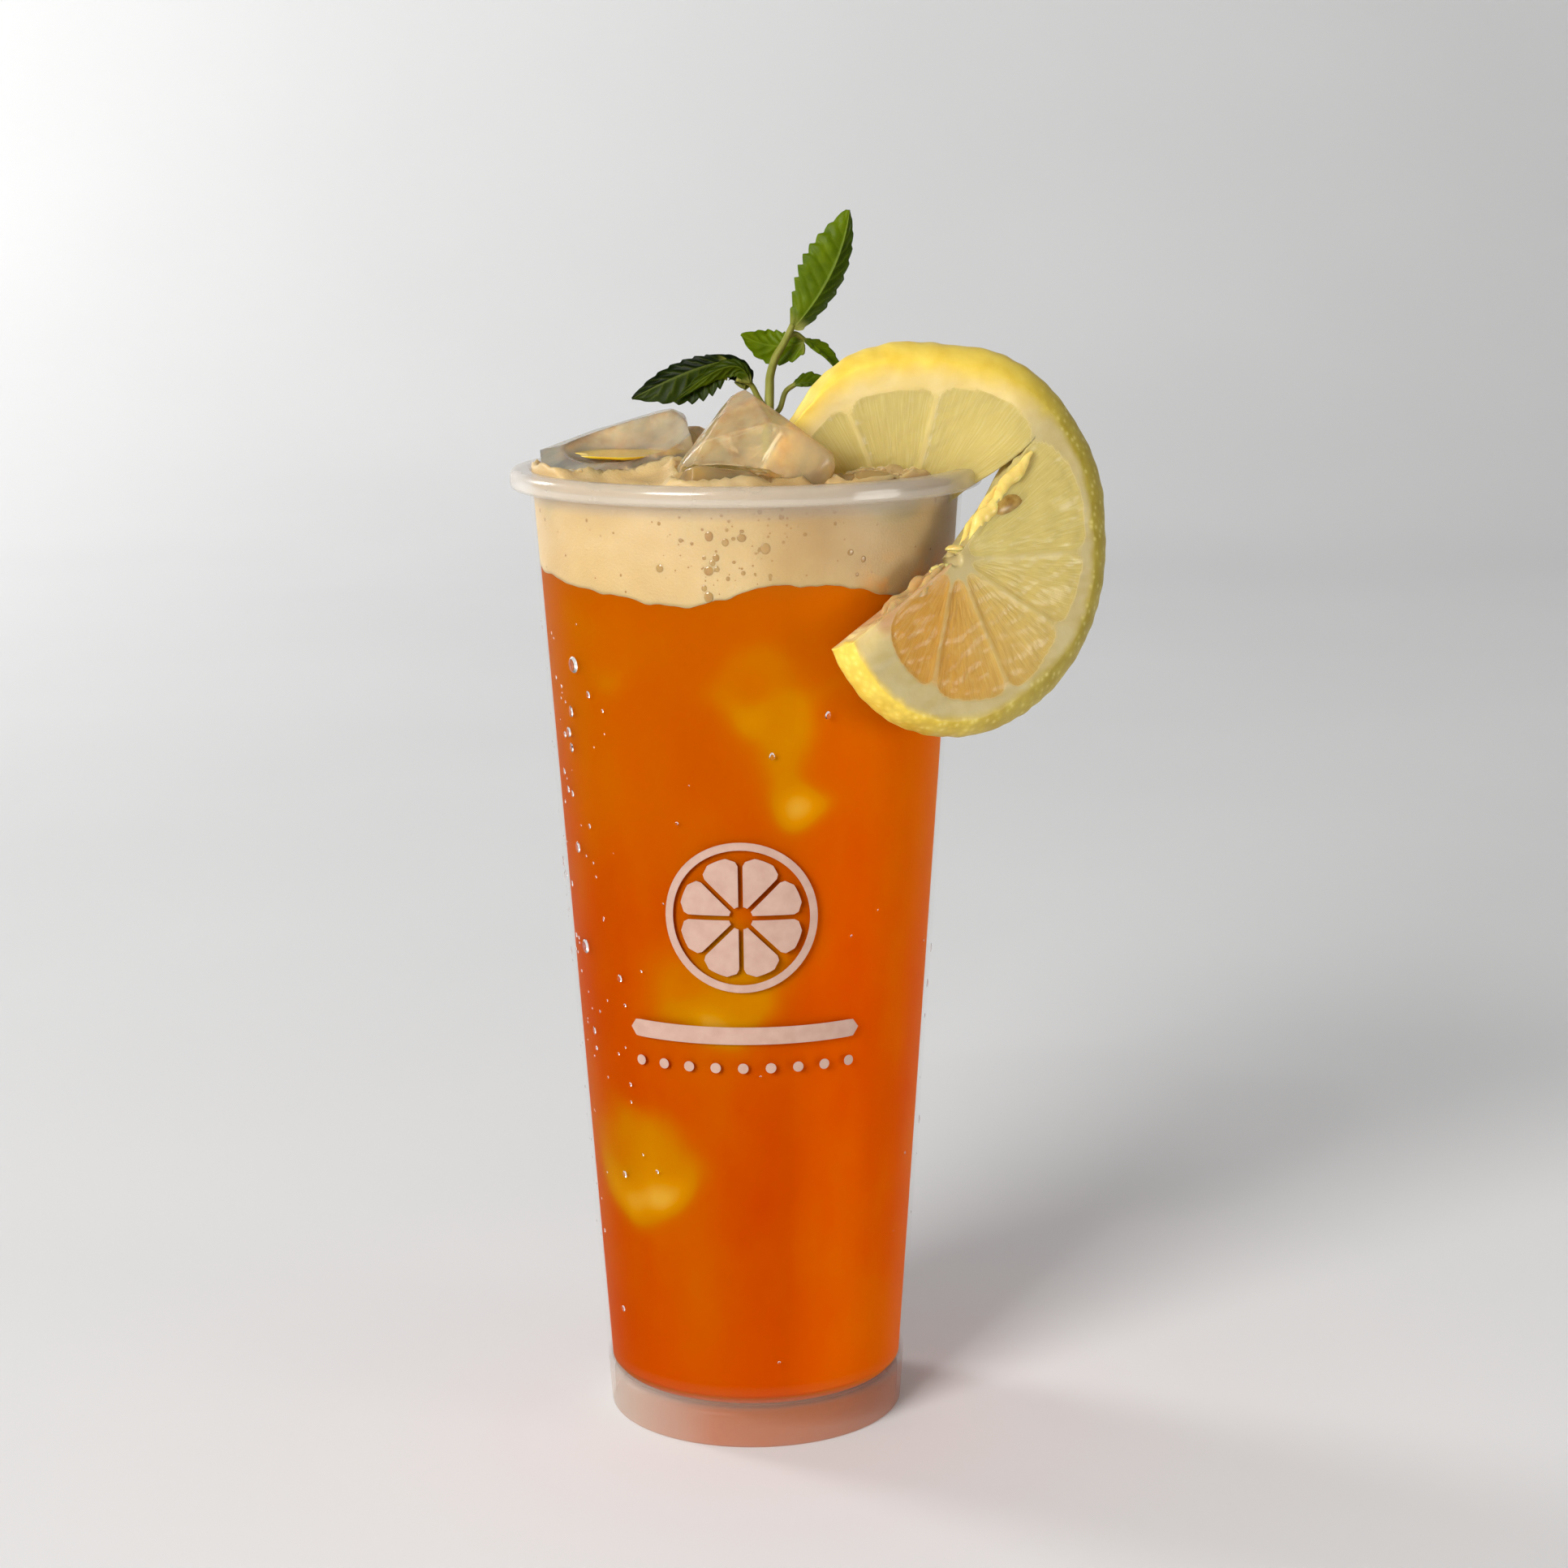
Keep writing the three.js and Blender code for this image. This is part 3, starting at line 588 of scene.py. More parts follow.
# ---- foam and tea ----
# Height of the foam's lower edge at the wall, by azimuth in degrees, and at the cup's axis.
FOAM_EDGE = [
    (-180, 169.6), (-160, 168.4), (-131, 166.6), (-108, 165.4), (-82, 169.0), (-64, 168.5),
    (-47, 165.8), (-20, 167.5), (10, 169.5), (45, 166.5), (80, 168.5), (115, 166.0), (150, 168.8),
    (180, 169.6),
]
FOAM_CENTRE = 168.5
FOAM_WALL_ROWS = 33
FOAM_TOP_RINGS = 64
PIT = (12.4, -32.0)
TEA_ROWS = 190
TEA_GAP = 0.3
# How far behind the wall ice still shows, and over what depth the tea hides it.
SIGHT = 24.0
HAZE = 4.0
# The upper cubes show through the round wall to the right of where they lie, and higher.
UPPER_ICE_SHIFT = np.array([-7.0, 0, -4.0])


def foam_edge(azimuth):
    """Height of the foam's lower edge at the wall."""
    a = wrap_degrees(azimuth)
    xs, ys = np.array(FOAM_EDGE, float).T
    k = np.clip(np.searchsorted(xs, a, side="right") - 1, 0, len(xs) - 2)
    return lerp(ys[k], ys[k + 1], smoothstep((a - xs[k]) / (xs[k + 1] - xs[k]), 0, 1))


def ice_light(name, hit):
    """How brightly a cube shows at a place on its surface: a pale band along its lower edge, as the
    light gathers there, and fainter above it."""
    low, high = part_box(name)
    across = (hit.x - (low.x + high.x) / 2) / (high.x - low.x) * 2
    upward = (hit.z - (low.z + high.z) / 2) / (high.z - low.z) * 2
    sag = upward + 0.62 - 0.25 * across ** 2 - 0.12 * across
    band = math.exp(-((sag / 0.15) ** 2)) * math.exp(-(((across + 0.25) / 0.6) ** 2))
    return 0.32 + 0.1 * upward + 1.1 * band


def soften(grid, along_rows, along_columns):
    """A grid blurred down its rows and round its columns."""
    for axis, width in ((0, along_rows), (1, along_columns)):
        offsets = np.arange(-3 * width, 3 * width + 1)
        weights = np.exp(-0.5 * (offsets / width) ** 2)
        padded = np.pad(grid, [(3 * width,) * 2 if k == axis else (0, 0) for k in (0, 1)],
                        mode="edge" if axis == 0 else "wrap")
        grid = sum(w * np.take(padded, np.arange(grid.shape[axis]) + k, axis=axis)
                   for k, w in enumerate(weights)) / weights.sum()
    return grid


def ice_glow(wall):
    """How near the ice is behind each point of the tea's wall, softened as a hazy drink does it,
    times the painted light that ice_light gives each cube.
    """
    ice, owners = solid_tree(TOP_ICE + SUNK_ICE)
    inward = np.stack([-np.cos(TURN), -np.sin(TURN), np.zeros(SIDES)], -1)
    along = np.stack([-np.sin(TURN), np.cos(TURN), np.zeros(SIDES)], -1)
    sway = (2.0 * ripple(wall, 12, 91)[..., None] * along
            + 2.2 * ripple(wall, 10, 92)[..., None] * np.array([0, 0, 1.0]))
    z = wall[..., 2]
    upper = smoothstep(z, 108, 120) * (1 - smoothstep(z, 156, 166))
    sway = sway + upper[..., None] * UPPER_ICE_SHIFT
    glow = np.zeros(z.shape)
    for i, j in np.ndindex(glow.shape):
        start = (wall[i, j] - inward[j] + sway[i, j]) * MM
        hit, _, face, distance = ice.ray_cast(
            (start[0] + AXIS_X, start[1], start[2]), inward[j].tolist(), SIGHT * MM)
        if hit is not None:
            near = math.exp(-max(distance / MM - 1.5, 0) / HAZE)
            glow[i, j] = near * ice_light(owners[face], hit)
    glow = 0.8 * soften(glow, 2, 2) + 0.25 * soften(glow, 6, 6)
    glow = glow * (1 - 0.8 * smoothstep(np.cos(TURN), 0.5, 0.8))
    return np.clip(glow * (1 + 0.16 * ripple(wall, 17, 93)), 0, 1)


def make_tea(material):
    """The tea as one closed body: its floor, its wall and a lid under the foam."""
    edge = foam_edge(np.degrees(TURN)) + 1.5
    low = FLOOR_TOP + 1.8
    share = np.linspace(0, 1, TEA_ROWS)[:, None]
    z = low + (edge - low) * share
    r = inner_radius(z) - TEA_GAP
    wall = turned(r, TURN, z)
    glow = ice_glow(wall)
    floor_line = [(0, FLOOR_TOP + 0.35), (20, FLOOR_TOP + 0.35)]
    floor_line += arc((inner_radius(FLOOR_TOP) - 2.1, FLOOR_TOP + 1.8), 1.45, -90, 0, 6)
    floor = lathe(floor_line)
    lid = np.stack([wall[-1] * (s, s, 0) + (0, 0, 1) * lerp(FOAM_CENTRE, edge, s)[:, None]
                    for s in (0.97, 0.6, 0.0)])
    grid = np.concatenate([floor, wall, lid])
    # lift, for the tea's painted light and shade, goes from 0 on its left to 1 on its right.
    values = {"glow": np.zeros(grid.shape[:2]),
              "lift": 0.5 + grid[..., 0] / np.maximum(inner_radius(grid[..., 2]), 1) / 2}
    values["glow"][len(floor):len(floor) + len(wall)] = glow
    points, faces, values = grid_part(grid, values, wrap_columns=True)
    build("tea_body", points, faces, material, "tea", ["tea"], values, weld=1e-3)


def pit(x, y):
    """The gap in the froth beside the middle cube, which is dented and painted dark as shade: 1 at
    its bottom, 0 outside it.
    """
    return np.exp(-(((x - PIT[0]) / 2.1) ** 2 + ((y - PIT[1]) / 2.3) ** 2) ** 2)


def foam_height(x, y, ice):
    """Height of the froth: level with the rim, rough, heaped at the left and in front of the slab,
    and drawn up where it clings to the ice."""
    reach, rise, fade = 6, 2.6, 1.7
    flat = np.stack([x, y, np.full_like(x, FOAM_LEVEL)], -1)
    height = FOAM_LEVEL + 0.35 * ripple(flat, 9, 11) + 0.18 * ripple(flat, 3.2, 12)
    height += 0.8 * smoothstep(-x, 22, 38) * smoothstep(-y, -6, 12)
    height += 2.4 * np.exp(-((x + 13.5) / 6) ** 2 - ((y + 20) / 6) ** 2)
    height -= 2.5 * pit(x, y)
    for k, (px, py, pz) in enumerate(flat.reshape(-1, 3)):
        near = ice.find_nearest((px * MM + AXIS_X, py * MM, pz * MM), reach * MM)
        if near[0] is not None:
            height.ravel()[k] += rise * math.exp(-near[3] / MM / fade)
    return height


def make_foam(material, ice_pieces):
    """The foam as one closed body with pockets where the ice sits in it."""
    ring = turned(40, TURN, 0)
    edge = foam_edge(np.degrees(TURN)) + 0.22 * ripple(ring, 6, 21) + 0.1 * ripple(ring, 2.4, 22)
    tree, _ = solid_tree(TOP_ICE)
    rim_r = inner_radius(FOAM_LEVEL) - 0.2
    top = np.stack([turned(rim_r * s, TURN, 0.0) for s in np.linspace(1, 0, FOAM_TOP_RINGS)])
    top[..., 2] = foam_height(top[..., 0], top[..., 1], tree)
    share = np.linspace(0, 1, FOAM_WALL_ROWS + 1)[:-1, None]
    z = edge + (top[0, :, 2] - edge) * share
    r = inner_radius(z) - 0.2
    wall = turned(r, TURN, z)
    under = np.stack([turned(r[0] * s, TURN, lerp(FOAM_CENTRE, edge, s)) for s in (0.0, 0.5, 0.97)])
    points, faces, _ = grid_part(np.concatenate([under, wall, top]), wrap_columns=True)
    azimuth = np.degrees(np.arctan2(points[:, 1], points[:, 0]))
    outer = smoothstep(np.hypot(points[:, 0], points[:, 1]), 34, 38)
    right = 0.95 * smoothstep(azimuth, -94, -76) * (1 - 0.7 * smoothstep(azimuth, -74, -50))
    right *= 1 - smoothstep(azimuth, 40, 90)
    left = np.exp(-((azimuth + 158) / 9) ** 2) * 0.35
    low = 1 - smoothstep(points[:, 2], 168, 176)
    values = {"thin": outer * np.clip(right * (0.5 + 0.4 * (1 - low)) + left, 0, 1),
              "pit": pit(points[:, 0], points[:, 1]) * (points[:, 2] > 178),
              "stain": outer * low * smoothstep(azimuth, -62, -50)
              * (1 - smoothstep(azimuth, -10, 20))}
    foam = build("foam_body", points, faces, material, "foam", ["foam"], values, weld=1e-3)
    for piece in ice_pieces:
        carve(foam, piece)


def carve(piece, tool):
    """Cuts the room of one piece out of another."""
    cut = piece.modifiers.new("cut", "BOOLEAN")
    cut.operation = "DIFFERENCE"
    cut.solver = "MANIFOLD"
    cut.object = tool
    bake_modifiers(piece)


def bake_modifiers(piece):
    """Applies a piece's modifiers to its mesh."""
    evaluated = piece.evaluated_get(bpy.context.evaluated_depsgraph_get())
    mesh = bpy.data.meshes.new_from_object(evaluated)
    piece.modifiers.clear()
    old, piece.data = piece.data, mesh
    bpy.data.meshes.remove(old)


def dome(radius, height, sides, rings):
    """A low dome on its base at z 0, closed below."""
    tilt = np.linspace(0, np.pi / 2, rings + 1)[:, None]
    shape = turned(radius * np.sin(tilt), full_turn(sides), height * np.cos(tilt))
    return grid_part(np.concatenate([shape, np.zeros((1, sides, 3))]), wrap_columns=True)[:2]


def on_wall(azimuth, z, stand_off=0.0, inside=False):
    """A place on the cup's wall, and the directions round it, up it and out of it."""
    a = math.radians(azimuth)
    r = (inner_radius(z) if inside else outer_radius(z)) + stand_off
    place = np.array([r * math.cos(a), r * math.sin(a), z])
    around = np.array([-math.sin(a), math.cos(a), 0.0])
    out = unit([math.cos(a), math.sin(a), -TAPER])
    return place, around, np.cross(out, around), out


WALL_BUBBLES = 760


def make_wall_bubbles(material):
    """Bubbles in the foam, pressed flat against the wall."""
    draw = np.random.default_rng(5)
    spots = [(-99.7, 178.3, 1.0), (-91.3, 178.0, 0.8), (-95.5, 177.2, 0.8), (-85.2, 176.0, 1.1),
             (-98.0, 174.4, 0.75), (-99.0, 173.4, 0.6), (-100.0, 172.0, 0.95), (-97.8, 172.3, 0.6),
             (-101.3, 168.8, 0.65), (-100.2, 167.2, 1.05), (-113.4, 172.2, 0.8), (-95.0, 170.6, 0.5),
             (-91.0, 171.6, 0.5), (-84.0, 171.0, 0.5), (-62.0, 174.6, 0.65), (-58.0, 173.2, 0.7)]
    for _ in range(WALL_BUBBLES):
        azimuth = draw.normal(-90, 13) if draw.uniform() < 0.55 else draw.uniform(-180, 180)
        lowest = float(foam_edge(azimuth)) + 0.8
        height = draw.uniform(lowest, 183)
        spots.append((azimuth, height, min(draw.lognormal(-1.75, 0.45), 0.5)))
    parts = []
    for azimuth, z, size in spots:
        points, faces = dome(size, 0.16 * size, 14 if size > 0.35 else 9, 3)
        place, around, up, out = on_wall(azimuth, z, -0.24, inside=True)
        stretch = draw.uniform(0.8, 1.15)
        moved = place + points[:, :1] * around * stretch + points[:, 1:2] * up + points[:, 2:] * out
        parts.append((moved, faces, {}))
    build_joined("foam_wall_bubbles", parts, material, "foam", weld=1e-4)


# ---- ice ----
# How deep the melt dents a cube, how fine its mesh is, and how many facets are cut off it.
MELT = 0.25
VOXEL = 0.55
FACETS = 14
# The hollow in the slab: an ellipsoid that reaches further to the front than to the back, and the
# pool in it.
DISH_CENTRE = np.array([-22.6, -8.0, 199.8])
DISH_AXES = np.array([[0.974, 0, 0.225], [0, 1, 0], [-0.225, 0, 0.974]])
DISH_RADII = np.array([16.5, 1.0, 11.0])
DISH_FRONT, DISH_BACK = 24.0, 11.0
PUDDLE = (-22.0, -10.8, 190.75)
PUDDLE_RADII = (10.2, 9.6)


def scooped(points):
    """Points moved down out of the hollow that the melt has made in the left-hand slab, and how near
    each is to the hollow's rim."""
    local = (points - DISH_CENTRE) @ DISH_AXES.T / DISH_RADII
    local[:, 1] /= np.where(local[:, 1] < 0, DISH_FRONT, DISH_BACK)
    reach = np.linalg.norm(local, axis=1)
    floor = -np.sqrt(np.clip(1 - local[:, 0] ** 2 - local[:, 1] ** 2, 0, 1))
    pushed = local.copy()
    pushed[:, 2] = np.where(reach < 1, np.minimum(local[:, 2], floor), local[:, 2])
    pushed[:, 1] *= np.where(local[:, 1] < 0, DISH_FRONT, DISH_BACK)
    return DISH_CENTRE + (pushed * DISH_RADII) @ DISH_AXES, np.exp(-((reach - 1) / 0.06) ** 2)


def vertex_vectors(mesh, field):
    found = np.zeros(len(mesh.vertices) * 3)
    mesh.vertices.foreach_get(field, found)
    return found.reshape(-1, 3)


def make_ice(name, material):
    """A cube with melted edges and dished, rippled faces, inside the room its solid has."""
    cube = bpy.data.objects.new(name + "_melted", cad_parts[name].data.copy())
    bpy.context.scene.collection.objects.link(cube)
    remesh = cube.modifiers.new("remesh", "REMESH")
    remesh.mode = "VOXEL"
    remesh.voxel_size = VOXEL * MM
    smooth = cube.modifiers.new("smooth", "SMOOTH")
    smooth.factor = 0.6
    smooth.iterations = 4
    bake_modifiers(cube)
    mesh = cube.data
    co = vertex_vectors(mesh, "co") / MM
    normal = vertex_vectors(mesh, "normal")
    seed = int(name[-2:])
    dent = np.abs(ripple(co, 13, seed)) + 0.45 * np.abs(ripple(co, 5.5, seed + 40))
    co -= normal * np.clip(MELT * dent - 0.05, 0, 1.6)[:, None]
    draw = np.random.default_rng(seed + 500)
    middle = co.mean(0)
    edge = np.zeros(len(co))
    for _ in range(FACETS):
        facet = unit(draw.normal(size=3))
        height = (co - middle) @ facet
        over = height - height.max() + draw.uniform(0.8, 2.6)
        co -= facet * np.clip(over, 0, None)[:, None]
        edge = np.maximum(edge, np.exp(-(over / 0.45) ** 2))
    if name == SLAB:
        hollow, rim = scooped(to_axis(co))
        co = np.where(normal[:, 2:] > -0.2, from_axis(hollow), co)
        edge = np.maximum(0.5 * edge, rim)
    mesh.vertices.foreach_set("co", (co * MM).ravel())
    mesh.attributes.new("edge", "FLOAT", "POINT").data.foreach_set("value", edge)
    mesh.shade_smooth()
    return adopt(cube, material, [name])


def make_puddle(material):
    """A shallow pool in the slab's hollow."""
    turn = full_turn(56)
    edge = 1 + 0.07 * np.sin(3 * turn + 1) + 0.04 * np.sin(7 * turn)
    rows = []
    wide, long = PUDDLE_RADII
    for share, deep in ((0, 1.1), (0.5, 0.95), (0.85, 0.5), (1, 0.06), (1, 0), (0.8, 0), (0, 0)):
        rows.append(np.stack([wide * share * edge * np.cos(turn), long * share * edge * np.sin(turn),
                              -deep + 0.0 * turn], -1))
    faces = grid_quads(len(rows), len(turn), wrap_columns=True)
    build("tea_puddle", np.concatenate(rows) + PUDDLE, faces, material, "ice", weld=1e-3)


def make_top_ice():
    """The cubes that stand out of the foam."""
    pale = ice_material("ice_pale", rgb(255, 242, 216), rgb(255, 230, 190), 0.29)
    cream = ice_material("ice_cream", rgb(255, 234, 190), rgb(252, 218, 160), 0.29)
    amber = ice_material("ice_amber", rgb(250, 214, 154), rgb(240, 184, 110), 0.32)
    pieces = []
    for name in TOP_ICE:
        warm = name in ("ice_cube_01", "ice_cube_04")
        pieces.append(make_ice(name, amber if warm else pale if name == SLAB else cream))
    return pieces


# ---- lemon ----
# The slice is worked out by angle and radius round its core, and by depth behind its cut face. The
# outer half runs from the cut to the tear, and the inner half on from the tear, folded back and
# swung aside round it. Angles are in degrees.
LEMON_CORE = np.array([38.3, -29.2, 172.3])
FACING = unit([0.502, -0.833, 0.234])
RIGHTWARD = unit(np.cross([0, 0, 1], FACING))
UPWARD = np.cross(FACING, RIGHTWARD)
THICKNESS = 6.0
CUT_ANGLE = -152
TEAR_ANGLE = 43
CORE_HOLE = 1.3
FOLD_ANGLE = 22
SWING = 7
FACE_ROWS = 60
# Radius of the rind and of the flesh, and how green the rind is, by angle.
RIND = [
    (-152, 27.7), (-120, 30.4), (-92, 30.7), (-60, 30.7), (-25, 32.5), (8, 36.0), (30, 38.8),
    (48, 40.0), (75, 37.8), (98, 35.6), (115, 34.0), (135, 31.5), (170, 29.5), (208, 28.5),
]
FLESH = [
    (-152, 17.5), (-143, 20.6), (-134, 22.6), (-122, 24.2), (-105, 25.6), (-86, 26.2), (-60, 26.6),
    (-42, 25.8), (-24, 26.8), (-8, 28.4), (6, 30.4), (18, 31.8), (30, 33.0), (43, 32.4), (54, 33.6),
    (62, 33.2), (72, 31.6), (86, 29.6), (98, 29.0), (110, 28.9), (124, 28.2), (158, 25.5), (208, 23.0),
]
GREEN = [
    (-152, 0.0), (-125, 0.15), (-100, 0.45), (-72, 0.8), (-40, 1.0), (38, 1.0), (48, 0.7), (58, 0.4),
    (75, 0.12), (95, 0.0), (208, 0.0),
]
# How far inside the rind's radius its colour starts on the cut face, and how far it bulges behind.
BEVEL = [
    (-152, -0.2), (-127, 0.2), (-103, 0.8), (-88, 1.5), (-72, 2.5), (-55, 2.9), (-31, 2.4),
    (-10, 2.9), (6, 3.7), (30, 3.2), (54, 2.3), (86, 2.4), (100, 1.4), (112, 0.5), (130, 0.2),
    (208, 0.2),
]
BULGE = [
    (-152, 1.4), (-100, 1.45), (-70, 1.6), (-40, 1.8), (-10, 1.95), (5, 2.0), (20, 2.8), (35, 2.6),
    (50, 2.1), (65, 1.7), (80, 0.7), (95, 1.4), (105, 1.5), (112, 1.2), (122, 0.4), (134, -0.9),
    (208, -1.0),
]
# The membranes between the segments of each half, by angle.
OUTER_MEMBRANES = [CUT_ANGLE, -111, -72, -34, -1, TEAR_ANGLE]
INNER_MEMBRANES = [TEAR_ANGLE, 81, 117, 158, 183, 360 + CUT_ANGLE]
# The rind in section, from the cut face to the back: share of the way out to the bulge, and depth.
SKIN = [(0.06, 0.05), (0.22, 0.3), (0.4, 0.75), (0.57, 1.3), (0.73, 1.95), (0.87, 2.7), (0.96, 3.5),
        (1.0, 4.3), (1.0, 5.1), (0.97, 5.65), (0.9, 6.0)]
# Between which shares of the way out to the rind the two halves come together at the tear.
TEAR_STEPS = (0.35, 0.79)
# Scraps of the white core: angle, radius, depth and size.
CORE_SCRAPS = [(60, 2.2, 1.3, 0.9), (-150, 2.2, 1.3, 0.9), (-162, 4.2, 1.7, 0.8), (-110, 2.8, 1.1, 0.6)]


def slice_point(angle, radius, depth, fold):
    """Points of the slice: by angle and radius round the core, depth behind the cut face, and how
    far each has turned round the fold at the tear."""
    a, hinge = np.radians(angle), math.radians(TEAR_ANGLE)
    reach = hermite(RIND, np.array(float(TEAR_ANGLE)))
    u, v = radius * np.cos(a), radius * np.sin(a)
    along = v * math.cos(hinge) - u * math.sin(hinge)
    out = u * math.cos(hinge) + v * math.sin(hinge) - reach
    swing, bend = np.radians(SWING * fold), np.radians(FOLD_ANGLE * fold)
    swung_along = along * np.cos(swing) - out * np.sin(swing)
    swung_out = along * np.sin(swing) + out * np.cos(swing)
    height = THICKNESS / 2 - depth
    folded_out = swung_out * np.cos(bend) - height * np.sin(bend) + reach
    folded_height = swung_out * np.sin(bend) + height * np.cos(bend) - THICKNESS / 2
    right = folded_out * math.cos(hinge) - swung_along * math.sin(hinge)
    up = folded_out * math.sin(hinge) + swung_along * math.cos(hinge)
    return (LEMON_CORE + right[..., None] * RIGHTWARD + up[..., None] * UPWARD
            + folded_height[..., None] * FACING)


def smooth_min(a, b, width):
    blend = np.clip(0.5 + 0.5 * (b - a) / width, 0, 1)
    return lerp(b, a, blend) - width * blend * (1 - blend)


def flesh_depth(angle, radius, membranes):
    """How far inside the flesh of a segment a point is, in mm; below 0 in pith and membranes."""
    apart = np.min([np.abs(angle - m) for m in membranes], axis=0)
    side = np.radians(apart) * radius - 0.14
    rim = hermite(FLESH, angle) - radius
    core = (radius - 3.4) * 0.8
    return smooth_min(smooth_min(side, rim, 3.2), core, 1.2)


def slice_half(membranes, is_inner, columns):
    """One half as a grid of closed loops: cut face, rind, back face and core hole. Gives its points,
    its attributes, and how far out to the rind each point is."""
    rows = FACE_ROWS
    angle = np.linspace(membranes[0], membranes[-1], columns)[:, None]
    rind = hermite(RIND, angle)
    rind = rind + 0.1 * np.sin(angle * 0.7) * np.sin(angle * 0.23 + 1)
    face = np.linspace(0, 1, rows)[None, :]
    bevel = hermite(BEVEL, angle)
    edge = rind - bevel
    front_r = CORE_HOLE + (edge - CORE_HOLE) * face
    skin_r = edge + (bevel + hermite(BULGE, angle)) * np.array([s[0] for s in SKIN])[None, :]
    skin_d = np.broadcast_to([s[1] for s in SKIN], skin_r.shape)
    round_rind = np.radians(angle) * rind + 0 * skin_d
    dimples = ripple(np.stack([round_rind, skin_d, 0 * skin_d], -1), 2.6, 36)
    skin_r = skin_r + 0.05 * dimples * smoothstep(skin_d, 0.2, 1.2)
    back_edge = skin_r[:, -1:] - 0.3
    back_r = CORE_HOLE + (back_edge - CORE_HOLE) * face[:, ::-1]
    hole_d = np.broadcast_to([4.5, 3.0, 1.5], (columns, 3))
    radius = np.concatenate([front_r, skin_r, back_r, np.full((columns, 3), CORE_HOLE)], 1)
    angles = np.broadcast_to(angle, radius.shape)
    inside = flesh_depth(angles, radius, membranes)
    border, number = cells(angles / 4.3 + 0.15 * radius, radius / 5.5, 31 if is_inner else 30)
    bulge = np.clip(border * 2.2, 0, 1) * (0.6 + 0.8 * number)
    drop = smoothstep(inside, -0.1, 1.2) * (0.24 - 0.06 * bulge)
    flat = np.stack([radius * np.cos(np.radians(angles)), radius * np.sin(np.radians(angles)),
                     angles * 0], -1)
    drop = drop + 0.06 * ripple(flat, 2.2, 33) + 0.12 * ripple(flat, 7, 34)
    is_front = np.zeros(radius.shape)
    is_front[:, :rows] = 1
    is_back = np.zeros(radius.shape)
    is_back[:, rows + len(SKIN):rows + len(SKIN) + rows] = 1
    depth = np.concatenate([np.zeros((columns, rows)), skin_d,
                            np.full((columns, rows), THICKNESS), hole_d], 1)
    calm = smoothstep(np.where(is_back > 0, back_edge, edge) - radius, 0.0, 0.8)
    depth = depth + calm * np.clip(drop, -0.05, 1) * (is_front - is_back)
    step = np.clip((radius - CORE_HOLE) / (rind - CORE_HOLE), 0, 1)
    rind_fold = smoothstep(angles, TEAR_ANGLE - 24, TEAR_ANGLE + 30)
    fold = lerp(1.0 if is_inner else 0.0, rind_fold, smoothstep(step, *TEAR_STEPS))
    points = slice_point(angles, radius, depth, fold)
    on_face = np.maximum(is_front, is_back)
    band = lerp(1.4, 4.2, smoothstep(angles, 34, 60))
    between = smoothstep(hermite(FLESH, angles) - radius, 0.4, 2.4) * smoothstep(radius, 3.5, 7)
    outward = radius - np.where(is_back > 0, back_edge, edge) + 0.25 * ripple(flat, 4, 35)
    lower_end = smoothstep(angles, -135, -75)
    values = {
        "flesh": np.maximum(smoothstep(inside, 0.0, 0.45), 0.6 * between) * on_face,
        "skin": np.where(on_face > 0, smoothstep(outward, -band, 0.5), 1.0),
        "pulp": border + 0 * radius,
        "green": hermite(GREEN, angles),
        "dots": (1 - 0.92 * smoothstep(angles, 35, 62)) * (0.6 + 0.4 * lower_end),
        "warm": smoothstep(angles, 42, 62) + (1 - smoothstep(angles, -150, -135)) * 0.8,
        "amber": 1 - smoothstep(angles, -125, 10),
        "film": (1 - smoothstep(angles, -149, -138)) * (1 - smoothstep(radius, 20, 23))
        * (inside < 0.3),
    }
    values["skin"][:, -3:] = 0
    polar = np.stack([angles / 4.3, radius / 5.5, angles * 0], -1)
    return points, {**values, "polar": polar}, step


def end_wall(points, values, column, keep, with_skin):
    """The face that closes a half at its first or last column, between its cut face and its back.
    keep says which rows of the face it takes in."""
    rows = FACE_ROWS
    back_start = rows + len(SKIN)
    front = points[column, :rows][keep]
    back = points[column, back_start:back_start + rows][::-1][keep]
    share = np.array([0, *(s[1] / THICKNESS for s in SKIN[:-1]), 0.97, 1])[:, None, None]
    grid = lerp(front[None], back[None], share)
    across = unit(np.cross(back[0] - front[0], front[-1] - front[0]))
    rough = 0.35 * ripple(grid, 3.0, 61) + 0.15 * ripple(grid, 1.2, 62)
    grid = grid + across * (rough[..., None] * np.sin(np.pi * share))
    made = {}
    for key, value in values.items():
        line = value[column, :rows][keep]
        made[key] = np.broadcast_to(line[None], (len(share), *line.shape))
    if with_skin:
        edge = np.concatenate([front[-1:], points[column, rows:back_start], back[-1:]])
        grid = np.concatenate([grid, edge[:, None]], 1)
        made = {key: np.concatenate([value, value[:, -1:]], 1) for key, value in made.items()}
    return grid_part(grid, made)


def make_lemon(material):
    parts = []
    for membranes, is_inner, columns in ((OUTER_MEMBRANES, False, 270), (INNER_MEMBRANES, True, 230)):
        points, values, step = slice_half(membranes, is_inner, columns)
        parts.append(grid_part(points, values, wrap_columns=True))
        torn, cut = (0, -1) if is_inner else (-1, 0)
        parted = step[torn, :FACE_ROWS] < TEAR_STEPS[1]
        parts.append(end_wall(points, values, cut, np.full(FACE_ROWS, True), True))
        parts.append(end_wall(points, values, torn, parted, False))
    build_joined("lemon_wheel", parts, material, "lemon", ["lemon_slice"], weld=2e-3)


